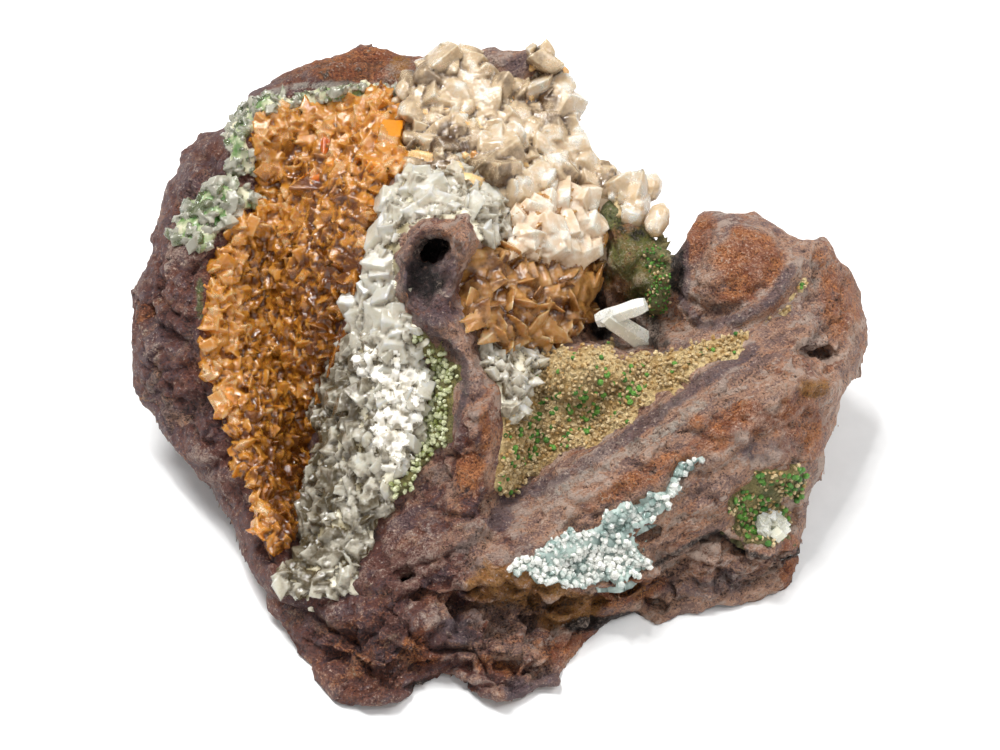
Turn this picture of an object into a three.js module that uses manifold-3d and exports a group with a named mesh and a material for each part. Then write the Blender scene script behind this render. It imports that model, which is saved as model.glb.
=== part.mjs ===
// A hand specimen of hemimorphite and calcite on brown iron-oxide rock, lying on its broken underside.
// Millimetres, +Z up, origin at the middle of the underside. The crystals look towards -Y and up.
//
// The specimen is laid out on its face: the picture plane of an eye that looks along +Y and down by
// VIEW_TILT. A place on the face is [a, b], in millimetres to the right and up as that eye sees it,
// and w is how far the surface stands out of the face plane, towards the eye.
import * as THREE from "three";
import Module from "manifold-3d";
import { mergeVertices } from "three/addons/utils/BufferGeometryUtils.js";

const wasm = await Module();
wasm.setup();

const VIEW_TILT = THREE.MathUtils.degToRad(45);
const VIEW_DISTANCE = 420;
// The middle of the face plane, seen from the middle of the underside.
const FACE_MIDDLE = new THREE.Vector3(0.2, -0.9, 18.7);

const GRID = 3; // spacing of the surface grid
const GAP = 0.3; // between the rock and each crust
const FRONT_EDGE = 2.5; // radius that rounds the outline towards the eye
const BACK_EDGE = 8; // and away from it
const LEAST_THICKNESS = 3;

const ROCK = { color: 0x6b4136, roughness: 0.9 };
const AMBER = { color: 0xc98236, roughness: 0.25 };
const CLEAR = { color: 0xcfc9b4, roughness: 0.2 };
const CREAM = { color: 0xe6d3b4, roughness: 0.35 };
const HONEY = { color: 0xd9ab6e, roughness: 0.3 };
const WHITE = { color: 0xe6e4d8, roughness: 0.35 };
const PALE_BLUE = { color: 0xc3d2cb, roughness: 0.4 };
const GREEN_GLASS = { color: 0x9fae8d, roughness: 0.35 };
const OLIVE = { color: 0x8f9a4f, roughness: 0.4 };
const OCHRE = { color: 0xa07b3c, roughness: 0.85 };
const MOSS = { color: 0x5e7133, roughness: 0.85 };

// The rock's outline on the face, clockwise from the top left.
const OUTLINE = [
  [-21.6, 45.6], [-19.7, 46.9], [-15.7, 46.2], [-13, 44.8], [-9.2, 45.1], [-5.6, 44.5], [-3.2, 45.8],
  [-1.4, 46.1], [2.1, 45.6], [4.9, 46.3], [6.3, 45.5], [7.8, 41.6], [9.2, 37.4], [10.8, 33.2],
  [12.3, 30.1], [14.8, 27.9], [18.2, 25.9], [20.7, 22.8], [21.8, 18.9], [23, 17.5], [24.4, 16.9],
  [25.9, 19], [26.3, 20.2], [27.4, 22.5], [29.3, 23.4], [30.7, 23.2], [31.6, 22.7], [33.3, 23],
  [34.9, 22.8], [35.6, 23.2], [36.3, 22.3], [38.1, 21.4], [40.5, 20], [41.6, 19.3], [44.2, 19.3],
  [45.2, 19.7], [45.9, 19.5], [46.9, 17.6], [47.9, 15.7], [48.9, 15.3], [49.7, 14.1], [50.5, 12.3],
  [51.2, 9.1], [52.1, 6.4], [51.9, 3.8], [51.1, 1.5], [50.5, 0.8], [51.1, -0.3], [49.6, -1.1],
  [48, -3.2], [47.7, -6.4], [47, -8.3], [45.9, -9.7], [45.6, -14.4], [44.8, -15.3], [43.7, -16.8],
  [42.4, -24.6], [41.9, -27.2], [41.2, -29], [40.3, -30.9], [37.8, -30.9], [37, -31.9], [33.6, -32.5],
  [30.5, -32.6], [28.4, -33.5], [26.3, -33.3], [23.9, -34.7], [22.1, -35.4], [20.3, -34.4], [18.5, -33.6],
  [16, -34.4], [13.7, -36], [10.9, -38.9], [9, -41.7], [9.1, -43.7], [5.3, -44.2], [2.9, -45.8],
  [0.3, -46.2], [-3.4, -45.5], [-5.3, -44.5], [-6.6, -43.3], [-11.9, -45.2], [-14.6, -46.3], [-20.2, -46.6],
  [-22.8, -46.8], [-23.8, -45.4], [-24.8, -44], [-26, -43.1], [-26.7, -40.7], [-28.7, -39.2], [-29.8, -36.5],
  [-31.4, -34.2], [-32.9, -33], [-33.2, -29.8], [-35, -28.3], [-37.1, -24.5], [-37.4, -21.7], [-39.5, -18.9],
  [-40.9, -16.1], [-42.7, -13.9], [-44.9, -11.6], [-47.3, -8.8], [-49.1, -5.5], [-50.4, -4.6], [-51.7, -2],
  [-51.9, 5.9], [-52.1, 9.8], [-51.9, 11.9], [-50.8, 13.7], [-49, 16.5], [-48.7, 17.8], [-49.4, 18.9],
  [-47.9, 22.8], [-47.7, 24.1], [-46.8, 27.3], [-45.6, 28.4], [-44.9, 31.5], [-43, 32.9], [-42.7, 34.3],
  [-39.8, 34.2], [-38.2, 35], [-37.5, 37], [-35.8, 38.1], [-35.6, 39.8], [-33.9, 40.5], [-31.2, 42],
  [-28.7, 43.3], [-25.5, 44.4],
];

// Heights of the rock's surface, [a, b, w].
const HEIGHTS = [
  // outer edge of the shell, clockwise from the top
  [-21.6, 45.2, -13], [-14, 44.4, -13], [-9.2, 44.5, -12], [2.1, 45.2, -10], [6, 45.5, -9],
  [9.2, 37.4, -9], [12.3, 30.1, -9], [18.2, 25.9, -10], [21.8, 18.9, -12], [24.4, 17.1, -10],
  [26.6, 20.9, -6], [29.3, 23.1, -4], [35.6, 23, -3], [38.1, 21.3, -3], [41.6, 19.2, -4],
  [45.2, 19.5, -8], [46.9, 17.5, -9], [50.5, 12.3, -9], [51.9, 5.6, -8], [51.1, 0, -6],
  [47.7, -6.3, 0], [45.6, -14.4, 2], [42.4, -24.5, 4], [40.3, -30.8, 6], [37, -31.8, 7],
  [28.4, -33.2, 9], [22.1, -35.1, 10], [18.5, -33.7, 11], [13.7, -36, 13], [9, -41.6, 18],
  [8.4, -43.4, 20], [0.3, -45.8, 22], [-6.6, -43.3, 19], [-14, -45.9, 21], [-22.8, -46.2, 20],
  [-28, -39.9, 16], [-32.9, -31.5, 10], [-37.1, -23.8, 4], [-40.9, -15.8, 0], [-47.3, -8.4, -4],
  [-51.7, -1.4, -7], [-51.7, 10.5, -9], [-49, 18.9, -11], [-46.8, 27.3, -13], [-42.7, 33.9, -14],
  [-37.5, 36.4, -14], [-31.2, 41.6, -14],
  // face of the left shell
  [-21, 42.4, -9.5], [-28, 41.3, -11], [-35, 38.5, -11], [-39.9, 31.5, -9], [-43.4, 27.3, -8],
  [-45.5, 21.7, -7], [-46.9, 14.7, -4], [-47.6, 7.7, -2.5], [-46.9, 0.7, -1], [-43.4, -6.3, 1.5],
  [-39.9, -11.9, 3.5], [-37.1, -17.5, 6], [-34.3, -24.5, 10], [-30.8, -30.1, 13],
  // lip of the amber hollow
  [-11.2, 41.3, -8], [-22.4, 39.9, -7.5], [-32.2, 37.8, -7], [-36.4, 32.9, -5], [-39.2, 25.9, -3.5],
  [-42, 18.9, -1.5], [-42.7, 11.9, 0.5], [-42.3, 4.9, 1], [-41.3, -0.7, 2], [-38.5, -7.7, 4.5],
  [-36.4, -14.7, 7], [-34.3, -21.7, 10], [-31.5, -28, 13],
  // floor of the amber hollow
  [-29.4, 35.7, -10], [-21, 37.1, -11], [-14, 37.1, -10], [-33.6, 27.3, -8], [-26.6, 28.7, -13],
  [-19.6, 30.1, -14.5], [-14, 31.5, -11], [-36.4, 18.9, -5], [-29.4, 20.3, -11], [-22.4, 21.7, -16],
  [-18.2, 23.1, -15], [-38.5, 11.9, -3.5], [-33.6, 11.9, -8], [-28, 11.9, -14], [-23.1, 11.9, -19],
  [-20.7, 13.3, -18], [-38.5, 4.9, -2.5], [-33.6, 4.9, -6.5], [-28, 4.9, -14], [-24.5, 4.2, -19],
  [-36.4, -3.5, 0], [-32.2, -3.5, -4.5], [-28, -3.5, -13], [-25.5, -3.5, -16], [-34.3, -10.5, 3],
  [-30.8, -10.5, -3], [-27.3, -11.2, -9], [-32.9, -16.1, 6], [-30.1, -16.8, 0], [-27.6, -16.1, -5],
  [-31.5, -21.7, 9], [-29.4, -21.7, 4], [-28, -21.7, 1], [-30.1, -25.9, 11], [-28, -25.9, 8],
  // clear ridge
  [-11.9, 26.6, 4.5], [-15.7, 22.4, 0], [-16.8, 17.5, 1], [-14, 18.9, 6], [-10.5, 22.4, 8],
  [-18.2, 10.5, 2], [-14.7, 11.9, 8], [-11.2, 11.9, 10], [-21, 3.5, 1], [-18.2, 4.2, 8],
  [-12.6, 4.9, 11], [-22.7, -3.5, 1], [-20.7, -3.5, 8], [-16.1, -3.5, 10.5], [-11.9, -3.5, 11],
  [-24.1, -9.1, 2], [-22.1, -9.8, 8.5], [-16.8, -10.5, 11], [-25.6, -14.7, 3], [-23.5, -16.1, 8.5],
  [-18.2, -17.5, 11.5], [-14, -14.7, 12], [-26.3, -20.3, 5], [-24.5, -21.7, 9.5], [-21, -23.1, 12],
  [-27, -25.9, 8], [-25.2, -27.3, 12], [-29.4, -30.1, 13],
  // olive strip beside the wall
  [-8.4, 2.1, 9], [-7.7, -3.5, 9.5], [-9.1, -9.1, 10], [-11.2, -14.7, 11.5], [-14, -20.3, 12.5],
  // thin wall between the hollows
  [-4.9, 20, 15], [-6.7, 14.7, 12.5], [-8.4, 10.5, 13.5], [-7, 7, 14.5], [-4.2, 3.5, 15],
  [-2.4, -0.7, 15.5], [-1.7, -4.9, 16], [-2.1, -9.1, 16.5], [-3.1, -14.7, 17], [-4.2, -18.9, 17.5],
  [-6.3, -23.1, 17.5], [-5.6, -10.5, 15.5], [-6.7, -17.5, 16],
  // pocket behind the wall
  [-0.7, -3.5, 1], [0, 3.5, -5], [-3.5, 7, -3], [-4.2, 11.9, -8], [-1.4, 11.9, -12],
  [2.8, 10.5, -14], [8.4, 10.5, -14], [12.6, 7, -15], [15.4, 7.7, -17], [14, 11.9, -15],
  [5.6, 5.6, -10], [2.8, 4.2, -6], [1.4, 0, -1], [0.4, -7.7, 3],
  // ochre floor
  [8.4, 2.8, 3.5], [12.6, 3.8, 3], [16.8, 2.7, 3], [8.4, 0.7, 5], [14, -0.7, 6],
  [19.6, 0, 5.5], [2.8, -4.9, 4], [7, -6.3, 6.5], [14, -4.9, 7], [2.8, -10.5, 6.5],
  [8.4, -9.1, 7.5], [0.7, -15.4, 9], [-0.4, -11.2, 6], [19.6, -3.5, 7.5], [25.2, 0.7, 8],
  [30.8, 3.5, 7], [22.4, 2.8, 4.5],
  // upper edge of the slab
  [2.1, -17.9, 13], [8.4, -14.7, 13.5], [14, -11.5, 13.5], [19.6, -7.4, 13.5], [25.2, -3.2, 13],
  [30.1, 0.4, 12.5], [35, 3.2, 10.5], [1.4, -15.8, 9.5], [7.7, -12.5, 9.5], [14, -9.1, 9],
  [19.6, -5.3, 8.7], [25.2, -1.4, 9], [30.1, 2, 8.7],
  // face of the slab
  [7, -18.9, 15.5], [14, -16.1, 16], [21, -11.9, 16], [28, -7.7, 15.5], [35, -3.5, 14],
  [42, -0.7, 11], [46.2, -1.4, 7], [21, -18.9, 15.5], [28, -14.7, 14.5], [35, -10.5, 13.5],
  [42, -7.7, 10], [44.8, -9.1, 6], [0, -23.1, 16.5], [7, -24.5, 17], [16.8, -23.1, 15],
  [25.2, -21.7, 14], [30.8, -17.5, 13.5], [38.5, -12.6, 12], [42, -13.3, 8.5], [39.2, -17.5, 9],
  [35.7, -20.3, 8.5], [32.9, -21.7, 9.5], [40.6, -21, 6.5],
  // below the slab
  [17.5, -30.1, 15.5], [14, -31.5, 15], [21, -30.1, 13], [25.2, -27, 11], [32.2, -28, 11],
  [37.8, -27, 9], [28, -31.2, 8.5], [21.7, -33.2, 8], [33.6, -31.2, 7.5], [32.9, -24.2, 11.5],
  [37.8, -24.8, 10],
  // front block
  [-7, -25.9, 17.5], [-9.8, -30.1, 18], [-14, -34.3, 19.5], [-19.6, -31.5, 16], [-23.8, -37.1, 17.5],
  [-19.6, -42.7, 20.5], [-11.2, -39.9, 20.5], [-4.2, -37.1, 19.5], [0, -31.5, 18], [5.6, -31.5, 17],
  [8.4, -35.7, 16], [2.8, -38.5, 18.5], [-1.4, -42.7, 20.5], [5.6, -42.7, 19], [-9.8, -44.1, 17],
  [-25.2, -31.5, 14],
  // right lobe
  [33.6, 16.8, 3.5], [29.4, 18.9, 2.5], [37.8, 17.5, 3], [33.6, 10.5, 6], [29.4, 11.9, 5],
  [36.4, 11.2, 4.5], [39.9, 16.4, 2.5], [26.6, 14.7, 0], [25.8, 10.5, -2], [28, 7, 3.5],
  [23.8, 4.9, 3], [41.3, 11.9, 1.5], [37.8, 8.8, 3.5], [33.6, 6, 5.5],
  // right flank
  [44.8, 14.7, -1.5], [47.6, 11.9, -3], [49, 6.3, -3.5], [49.4, 2.4, -3], [43.1, 10.5, 2],
  [45.1, 7, 2], [40.6, 6, 6.5], [36.4, 4.2, 8.5], [47.3, 3.5, 1], [45.5, 0.4, 3.5],
  // mossy boulder
  [16.1, 22.4, -6], [17.5, 18.9, -5.5], [21, 18.2, -9], [21, 14.7, -4], [23.5, 12.6, -5],
  [23.1, 8.8, -7], [19.6, 10.5, -4.5], [17.1, 14.7, -5], [25.5, 9.1, -11], [14, 18.9, -10],
  [13.6, 15.4, -14], [17.5, 5.6, -12], [21, 6.3, -8],
  // crest
  [-7, 39.9, -9], [0, 39.9, -9], [5.6, 39.9, -10], [-8.4, 35.7, -8], [-2.8, 34.3, -8],
  [2.8, 34.3, -8], [8.4, 34.3, -10], [-7, 30.1, -6], [0, 28.7, -6.5], [5.6, 28.7, -7.5],
  [11.2, 27.3, -9], [-2.8, 24.5, -2], [-7, 25.9, 1.5], [2.8, 24.5, -6], [8.4, 22.4, -9],
  [14, 23.8, -9], [5.6, 18.9, -11], [0.7, 18.9, -8],
];

// Where each crust grows on the rock.
const REGIONS = {
  amber: [
    [-33.3, 36], [-28, 36.8], [-21.7, 38.5], [-16.1, 39.2], [-13.7, 37.1], [-14.3, 32.9], [-13.7, 29.4],
    [-15.7, 26.6], [-17.1, 22.4], [-17.9, 17.5], [-19.3, 14], [-21.4, 10.5], [-22.8, 6.3], [-24.2, 1.4],
    [-25.2, -3.5], [-25.6, -7.7], [-27, -11.9], [-27.7, -16.1], [-28.4, -20.3], [-29.8, -23.8], [-32.2, -24.2],
    [-33.3, -21.7], [-34.3, -17.5], [-35.7, -14], [-37.5, -10.5], [-38.1, -7], [-39.9, -3.5], [-41, 0.7],
    [-41.6, 6.3], [-42, 10.5], [-39.9, 14.7], [-37.8, 18.9], [-35.3, 22.4], [-33.3, 25.9], [-33.9, 30.1],
    [-35, 32.9],
  ],
  clear: [
    [-14, 27.3], [-8.4, 29], [-2.8, 29.4], [0.7, 25.2], [0, 19.6], [-2.8, 18.2], [-4.5, 21.4],
    [-8.4, 21.4], [-11.5, 20], [-13.3, 16.1], [-13.3, 11.9], [-11.9, 7.7], [-10.5, 4.2], [-9.8, -0.7],
    [-11.2, -6.3], [-12.3, -11.9], [-14.7, -16.1], [-16.8, -20.3], [-18.2, -25.2], [-21.7, -30.4], [-28, -31.5],
    [-31.1, -30.8], [-30.1, -27.3], [-28, -23.1], [-26.6, -17.5], [-25.9, -13.3], [-24.5, -9.1], [-25.2, -4.9],
    [-23.8, 0.7], [-22.1, 5.6], [-20.3, 10.5], [-17.5, 15.4], [-16.8, 20.3], [-15.4, 24.5],
  ],
  crest: [
    [-10.5, 42.7], [-7.7, 43.8], [-4.2, 43.8], [0, 41.6], [2.8, 44.4], [6.3, 46.1], [7.8, 42.7],
    [8.7, 39.6], [10.1, 35], [11.9, 31.2], [14, 28.4], [18.2, 26.2], [20.4, 22.8], [19.6, 21.4],
    [16.1, 23.8], [13.3, 25.2], [10.5, 26.6], [8.4, 25.2], [5.6, 24.5], [2.8, 23.8], [0, 24.5],
    [-2.8, 27.3], [-6.3, 28.7], [-9.8, 30.1], [-12.6, 31.5], [-13.4, 34.3], [-12.9, 37.8], [-13.4, 39.9],
  ],
  spray: [
    [0, 22.4], [2.1, 23.8], [6.3, 24.5], [8.4, 25.9], [11.2, 25.9], [12.9, 22.4], [14, 18.2],
    [13.6, 14.7], [12.9, 11.6], [11.5, 8.8], [10.1, 6], [7.7, 3.5], [2.8, 3.2], [-1.4, 4.9],
    [-4.9, 7], [-6.3, 10.5], [-5.9, 15.8], [-2.8, 17.5], [0.7, 18.2],
  ],
  low: [
    [-3.1, 4.9], [0, 3.2], [2.8, 3.2], [6.3, 3.2], [7, 2.1], [4.2, 0.4], [3.1, -2.8],
    [2.1, -5.6], [0, -6], [-1.1, -3.5], [-2.1, 0],
  ],
  hemimorphite: [
    [1.5, -27.2], [3.2, -25.9], [6.3, -24.6], [7.6, -23.2], [9.4, -22.3], [13.6, -22], [15.4, -19.2],
    [18.5, -18.2], [20.9, -17.6], [21.1, -15.5], [23, -16.1], [23.9, -14.7], [24.2, -12.6], [25.5, -11.6],
    [27.9, -11.8], [26.3, -13.4], [24.6, -14.8], [24.4, -17.1], [23.4, -18.9], [21.4, -20.9], [19.6, -21.4],
    [18.8, -22.8], [20.9, -25.1], [21.1, -26.5], [18.5, -28.3], [14.1, -29.3], [12, -30.2], [8.4, -30.1],
    [6.9, -28.7], [4.5, -27.7],
  ],
  rimLower: [
    [-45.2, 18.8], [-42.1, 17.5], [-39.6, 18.5], [-37.4, 20.6], [-35.8, 23.1], [-34.3, 25.1], [-38.1, 26.9],
    [-40.9, 26.6], [-42.1, 24.6], [-44, 22.8], [-44.9, 20.6],
  ],
  rimUpper: [
    [-38.9, 30.1], [-37.8, 35], [-35.7, 37.8], [-31.5, 39.2], [-26.6, 40.5], [-19.6, 40.6], [-14, 39.9],
    [-16.1, 38.9], [-21.7, 38.6], [-28, 37.1], [-33.3, 36.3], [-35, 33.2], [-34.4, 30.1], [-34.2, 28.4],
    [-36.4, 28.1], [-38.1, 28.7],
  ],
  olive: [
    [-11.5, 5.6], [-9.8, 4.9], [-7.7, 3.5], [-5.3, 1.8], [-4.5, -0.7], [-5.3, -3.5], [-6.3, -7.7],
    [-8.4, -10.5], [-10.5, -12.6], [-12.6, -16.1], [-14.3, -17.5], [-14.7, -16.1], [-12.6, -12.6], [-11.2, -7.7],
    [-10.1, -3.5], [-9.8, 0.7], [-10.5, 3.5],
  ],
  ochre: [
    [-1.4, -9.1], [-0.7, -5.6], [2.8, -3.5], [3.5, 0], [5.6, 1.8], [8.4, 3.5], [12.6, 4.6],
    [16.1, 3.5], [17.5, 2.4], [21, 2.8], [25.2, 3.5], [28.7, 4.2], [31.5, 6.3], [32.9, 8],
    [36.4, 10.5], [39.9, 13.3], [40.9, 15.8], [42, 15.8], [42.7, 13.3], [42.3, 10.5], [39.2, 8.4],
    [35.7, 7], [34.3, 4.2], [35.3, 3.5], [32.9, 2.4], [30.1, 2.1], [26.6, 0.3], [23.1, -2.9],
    [19.6, -5.3], [15.4, -8.3], [9.8, -11.6], [4.2, -14.1], [0.7, -17.2], [-1.1, -16.1], [-1.7, -12.6],
  ],
  sideDruse: [
    [35.7, -13.3], [33.6, -15.8], [31.8, -18.3], [31.8, -22], [35.1, -23.5], [39.1, -24.2], [40.9, -23.1],
    [40.6, -21], [39.6, -18.1], [42.4, -16.5], [42.4, -13.7], [39.8, -13],
  ],
};

// The planes that close the rock behind, each with its outward direction and its distance from
// the middle of the underside.
const BACK_PLANES = [
  { out: [0, 0, -1], distance: 1.3 },
  { out: [0, 1, -0.12], distance: 39 },
  { out: [-0.7, 0.62, -0.3], distance: 43 },
  { out: [0.72, 0.6, -0.28], distance: 42 },
  { out: [-0.78, -0.05, -0.62], distance: 27 },
  { out: [0.8, -0.05, -0.6], distance: 30 },
];

// Holes that go into the rock: place on the face, radii across, depth and turn on the face.
const HOLES = [
  { at: [-9.2, 18.3], across: [1.9, 1.3], floor: 3, turn: -0.3 },
  { at: [44.6, 3.1], across: [2.4, 0.9], floor: -4, turn: -0.15 },
  { at: [-13, -28.5], across: [1.4, 0.9], floor: 11, turn: 0.3 },
];

// How crystals stand on each crust. Sizes are half widths, stretch is length over width.
const CRUSTS = [
  { name: "amber_calcite_lining", region: "amber", look: AMBER, skin: 1.0,
    crystals: { habit: "rhomb", spacing: 6.3, size: [2.6, 3.6], stretch: [1.0, 1.4], tilt: 0.4 } },
  { name: "clear_calcite_ridge", region: "clear", look: CLEAR, skin: 1.0,
    crystals: { habit: "rhomb", spacing: 6.2, size: [2.8, 3.9], stretch: [1, 1.5], tilt: 0.45 } },
  { name: "cream_calcite_crest", region: "crest", look: CREAM, skin: 1.2,
    crystals: { habit: "rhomb", spacing: 6.6, size: [3.1, 4.4], stretch: [0.9, 1.2], tilt: 0.5 } },
  { name: "honey_calcite_spray", region: "spray", look: HONEY, skin: 0.9,
    crystals: { habit: "blade", spacing: 5.3, size: [2.5, 3.4], stretch: [1.3, 2.0], tilt: 0.4 } },
  { name: "low_clear_crystals", region: "low", look: CLEAR, skin: 0.8,
    crystals: { habit: "rhomb", spacing: 4.0, size: [1.5, 2.2], stretch: [1, 1.5], tilt: 0.4 } },
  { name: "hemimorphite_crust", region: "hemimorphite", look: PALE_BLUE, skin: 1.0,
    crystals: { habit: "grain", spacing: 3.4, size: [1.3, 1.8], stretch: [0.7, 1.0], tilt: 0.3 } },
  { name: "green_rim_crystals", region: "rimLower", look: GREEN_GLASS, skin: 0.8,
    crystals: { habit: "rhomb", spacing: 3.4, size: [1.3, 1.8], stretch: [0.8, 1.2], tilt: 0.5 } },
  { name: "pale_rim_crystals", region: "rimUpper", look: GREEN_GLASS, skin: 0.8,
    crystals: { habit: "rhomb", spacing: 5.4, size: [1.5, 2.1], stretch: [0.8, 1.1], tilt: 0.3 } },
  { name: "olive_druse", region: "olive", look: OLIVE, skin: 1.2 },
  { name: "ochre_druse", region: "ochre", look: OCHRE, skin: 0.7 },
  { name: "green_druse", region: "sideDruse", look: MOSS, skin: 0.7 },
];

// The two milky prisms that cross in the pocket, each from its foot to its tip as [a, b, w].
const PRISMS = [
  { from: [21.6, 3.8, -5], to: [14.8, 8.3, 0.5], radius: 1.75, flat: 0.8 },
  { from: [13.6, 7.6, -1], to: [20.4, 9.9, 1.8], radius: 1.45, flat: 0.8 },
];

// A number from 0 to 1 that is always the same for the same whole numbers.
function hash(x, y, z) {
  let h = Math.imul(x, 374761393) + Math.imul(y, 668265263) + Math.imul(z, 1274126177);
  h = Math.imul(h ^ (h >>> 13), 1274126177);
  return ((h ^ (h >>> 16)) >>> 0) / 4294967296;
}

// Value noise from -1 to 1: random values on a whole-number lattice, blended smoothly between.
function noise(x, y, z) {
  const [i, j, k] = [Math.floor(x), Math.floor(y), Math.floor(z)];
  const [u, v, t] = [x - i, y - j, z - k].map((f) => f * f * (3 - 2 * f));
  const edge = (dj, dk) => THREE.MathUtils.lerp(hash(i, j + dj, k + dk), hash(i + 1, j + dj, k + dk), u);
  const side = (dk) => THREE.MathUtils.lerp(edge(0, dk), edge(1, dk), v);
  return 2 * THREE.MathUtils.lerp(side(0), side(1), t) - 1;
}

// Solves a full linear system by elimination with row swaps.
function solve(matrix, right) {
  const rows = matrix.map((row, i) => [...row, right[i]]);
  const n = rows.length;
  for (let c = 0; c < n; c++) {
    let best = c;
    for (let r = c + 1; r < n; r++) if (Math.abs(rows[r][c]) > Math.abs(rows[best][c])) best = r;
    [rows[c], rows[best]] = [rows[best], rows[c]];
    for (let r = c + 1; r < n; r++) {
      const share = rows[r][c] / rows[c][c];
      for (let k = c; k <= n; k++) rows[r][k] -= share * rows[c][k];
    }
  }
  const found = new Array(n).fill(0);
  for (let r = n - 1; r >= 0; r--) {
    let sum = rows[r][n];
    for (let k = r + 1; k < n; k++) sum -= rows[r][k] * found[k];
    found[r] = sum / rows[r][r];
  }
  return found;
}

// A surface through every given height: a sum of cones with slightly rounded tips.
function heightField(points, rounding = 0.8) {
  const middle = points.reduce((sum, p) => sum + p[2], 0) / points.length;
  const cone = (a, b, p) => Math.hypot(a - p[0], b - p[1], rounding);
  const weights = solve(
    points.map((q) => points.map((p) => cone(q[0], q[1], p))),
    points.map((p) => p[2] - middle),
  );
  return (a, b) => points.reduce((sum, p, i) => sum + weights[i] * cone(a, b, p), middle);
}

// How far inside a closed outline a place lies (negative outside), and the outline's nearest point.
function insideOf(outline, a, b) {
  let inside = false;
  let least = Infinity;
  let nearest = outline[0];
  outline.forEach(([a1, b1], i) => {
    const [a0, b0] = outline[(i + outline.length - 1) % outline.length];
    if (b0 > b !== b1 > b && a < ((a1 - a0) * (b - b0)) / (b1 - b0) + a0) inside = !inside;
    const along = ((a - a0) * (a1 - a0) + (b - b0) * (b1 - b0)) / ((a1 - a0) ** 2 + (b1 - b0) ** 2);
    const t = THREE.MathUtils.clamp(along, 0, 1);
    const point = [a0 + t * (a1 - a0), b0 + t * (b1 - b0)];
    const far = Math.hypot(a - point[0], b - point[1]);
    if (far < least) [least, nearest] = [far, point];
  });
  return { depth: inside ? least : -least, nearest };
}

const RIGHT = new THREE.Vector3(1, 0, 0);
const UP = new THREE.Vector3(0, Math.sin(VIEW_TILT), Math.cos(VIEW_TILT));
const TOWARDS_EYE = new THREE.Vector3(0, -Math.cos(VIEW_TILT), Math.sin(VIEW_TILT));

// The place in space that the eye sees at [a, b], standing out of the face plane by w.
function place(a, b, w) {
  const nearer = (VIEW_DISTANCE - w) / VIEW_DISTANCE;
  return FACE_MIDDLE.clone()
    .addScaledVector(RIGHT, a * nearer)
    .addScaledVector(UP, b * nearer)
    .addScaledVector(TOWARDS_EYE, w);
}

const plainHeight = heightField(HEIGHTS);
// A quarter circle that falls from 1 at the outline to 0 at the given distance inside it.
const roundOff = (distance, radius) => {
  const left = 1 - THREE.MathUtils.clamp(distance / radius, 0, 1);
  return 1 - Math.sqrt(1 - left * left);
};

// The rock's front surface: the heights, lumps of two sizes, and a rounded outline.
function front(a, b, inside) {
  const lumps = 0.8 * noise(a / 6.5, b / 6.5, 3) + 0.45 * noise(a / 3.1, b / 3.1, 7);
  return plainHeight(a, b) + lumps - FRONT_EDGE * roundOff(inside, FRONT_EDGE);
}

// The rock's back surface: where the line of sight leaves the planes behind, made lumpy, and
// drawn in to meet the front at the outline.
function back(a, b, inside) {
  const start = place(a, b, 0);
  const step = place(a, b, 1).sub(start);
  const depths = BACK_PLANES.map(({ out, distance }) => {
    const normal = new THREE.Vector3(...out).normalize();
    return (distance - normal.dot(start)) / normal.dot(step);
  });
  const lumps = 1.6 * noise(a / 13, b / 13, 21) + 1.1 * noise(a / 5.5, b / 5.5, 29);
  const edge = front(a, b, inside);
  const behind = Math.min(Math.max(...depths) + lumps, edge - LEAST_THICKNESS);
  return THREE.MathUtils.lerp(behind, edge, roundOff(inside, BACK_EDGE));
}

const bounds = (axis) => {
  const values = OUTLINE.map((p) => p[axis]);
  return [Math.min(...values) - GRID, Math.max(...values) + GRID];
};

// The grid that all surfaces share: its vertices, those near the outline moved onto it, and the
// triangles that lie inside, counterclockwise for the eye.
function faceGrid() {
  const [a0, a1] = bounds(0);
  const [b0, b1] = bounds(1);
  const across = Math.ceil((a1 - a0) / GRID) + 1;
  const upwards = Math.ceil((b1 - b0) / GRID) + 1;
  const vertices = [];
  for (let j = 0; j < upwards; j++)
    for (let i = 0; i < across; i++) {
      const [a, b] = [a0 + i * GRID, b0 + j * GRID];
      const { depth, nearest } = insideOf(OUTLINE, a, b);
      const onOutline = Math.abs(depth) < 0.45 * GRID;
      vertices.push(
        onOutline ? { a: nearest[0], b: nearest[1], inside: 0 } : { a, b, inside: depth },
      );
    }
  const triangles = [];
  for (let j = 0; j + 1 < upwards; j++)
    for (let i = 0; i + 1 < across; i++) {
      const first = j * across + i;
      const corners = [first, first + 1, first + across + 1, first + across];
      const kept = corners.filter((c) => vertices[c].inside >= 0);
      if (kept.length === 4) triangles.push([kept[0], kept[1], kept[2]], [kept[0], kept[2], kept[3]]);
      if (kept.length === 3) triangles.push(kept);
    }
  return { vertices, triangles };
}

const face = faceGrid();

// The edges that only one triangle has, and the way out of the sheet at each of their ends.
function rimOf(triangles) {
  const edges = new Map();
  for (const t of triangles)
    for (let k = 0; k < 3; k++) {
      const [from, to] = [t[k], t[(k + 1) % 3]];
      if (!edges.delete(`${to},${from}`)) edges.set(`${from},${to}`, [from, to]);
    }
  const out = new Map();
  for (const [from, to] of edges.values()) {
    const [p, q] = [face.vertices[from], face.vertices[to]];
    const length = Math.hypot(q.a - p.a, q.b - p.b);
    for (const end of [from, to]) {
      const sum = out.get(end) ?? new THREE.Vector2();
      out.set(end, sum.add(new THREE.Vector2((q.b - p.b) / length, (p.a - q.a) / length)));
    }
  }
  out.forEach((direction) => direction.normalize());
  return { edges: [...edges.values()], out };
}

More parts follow.
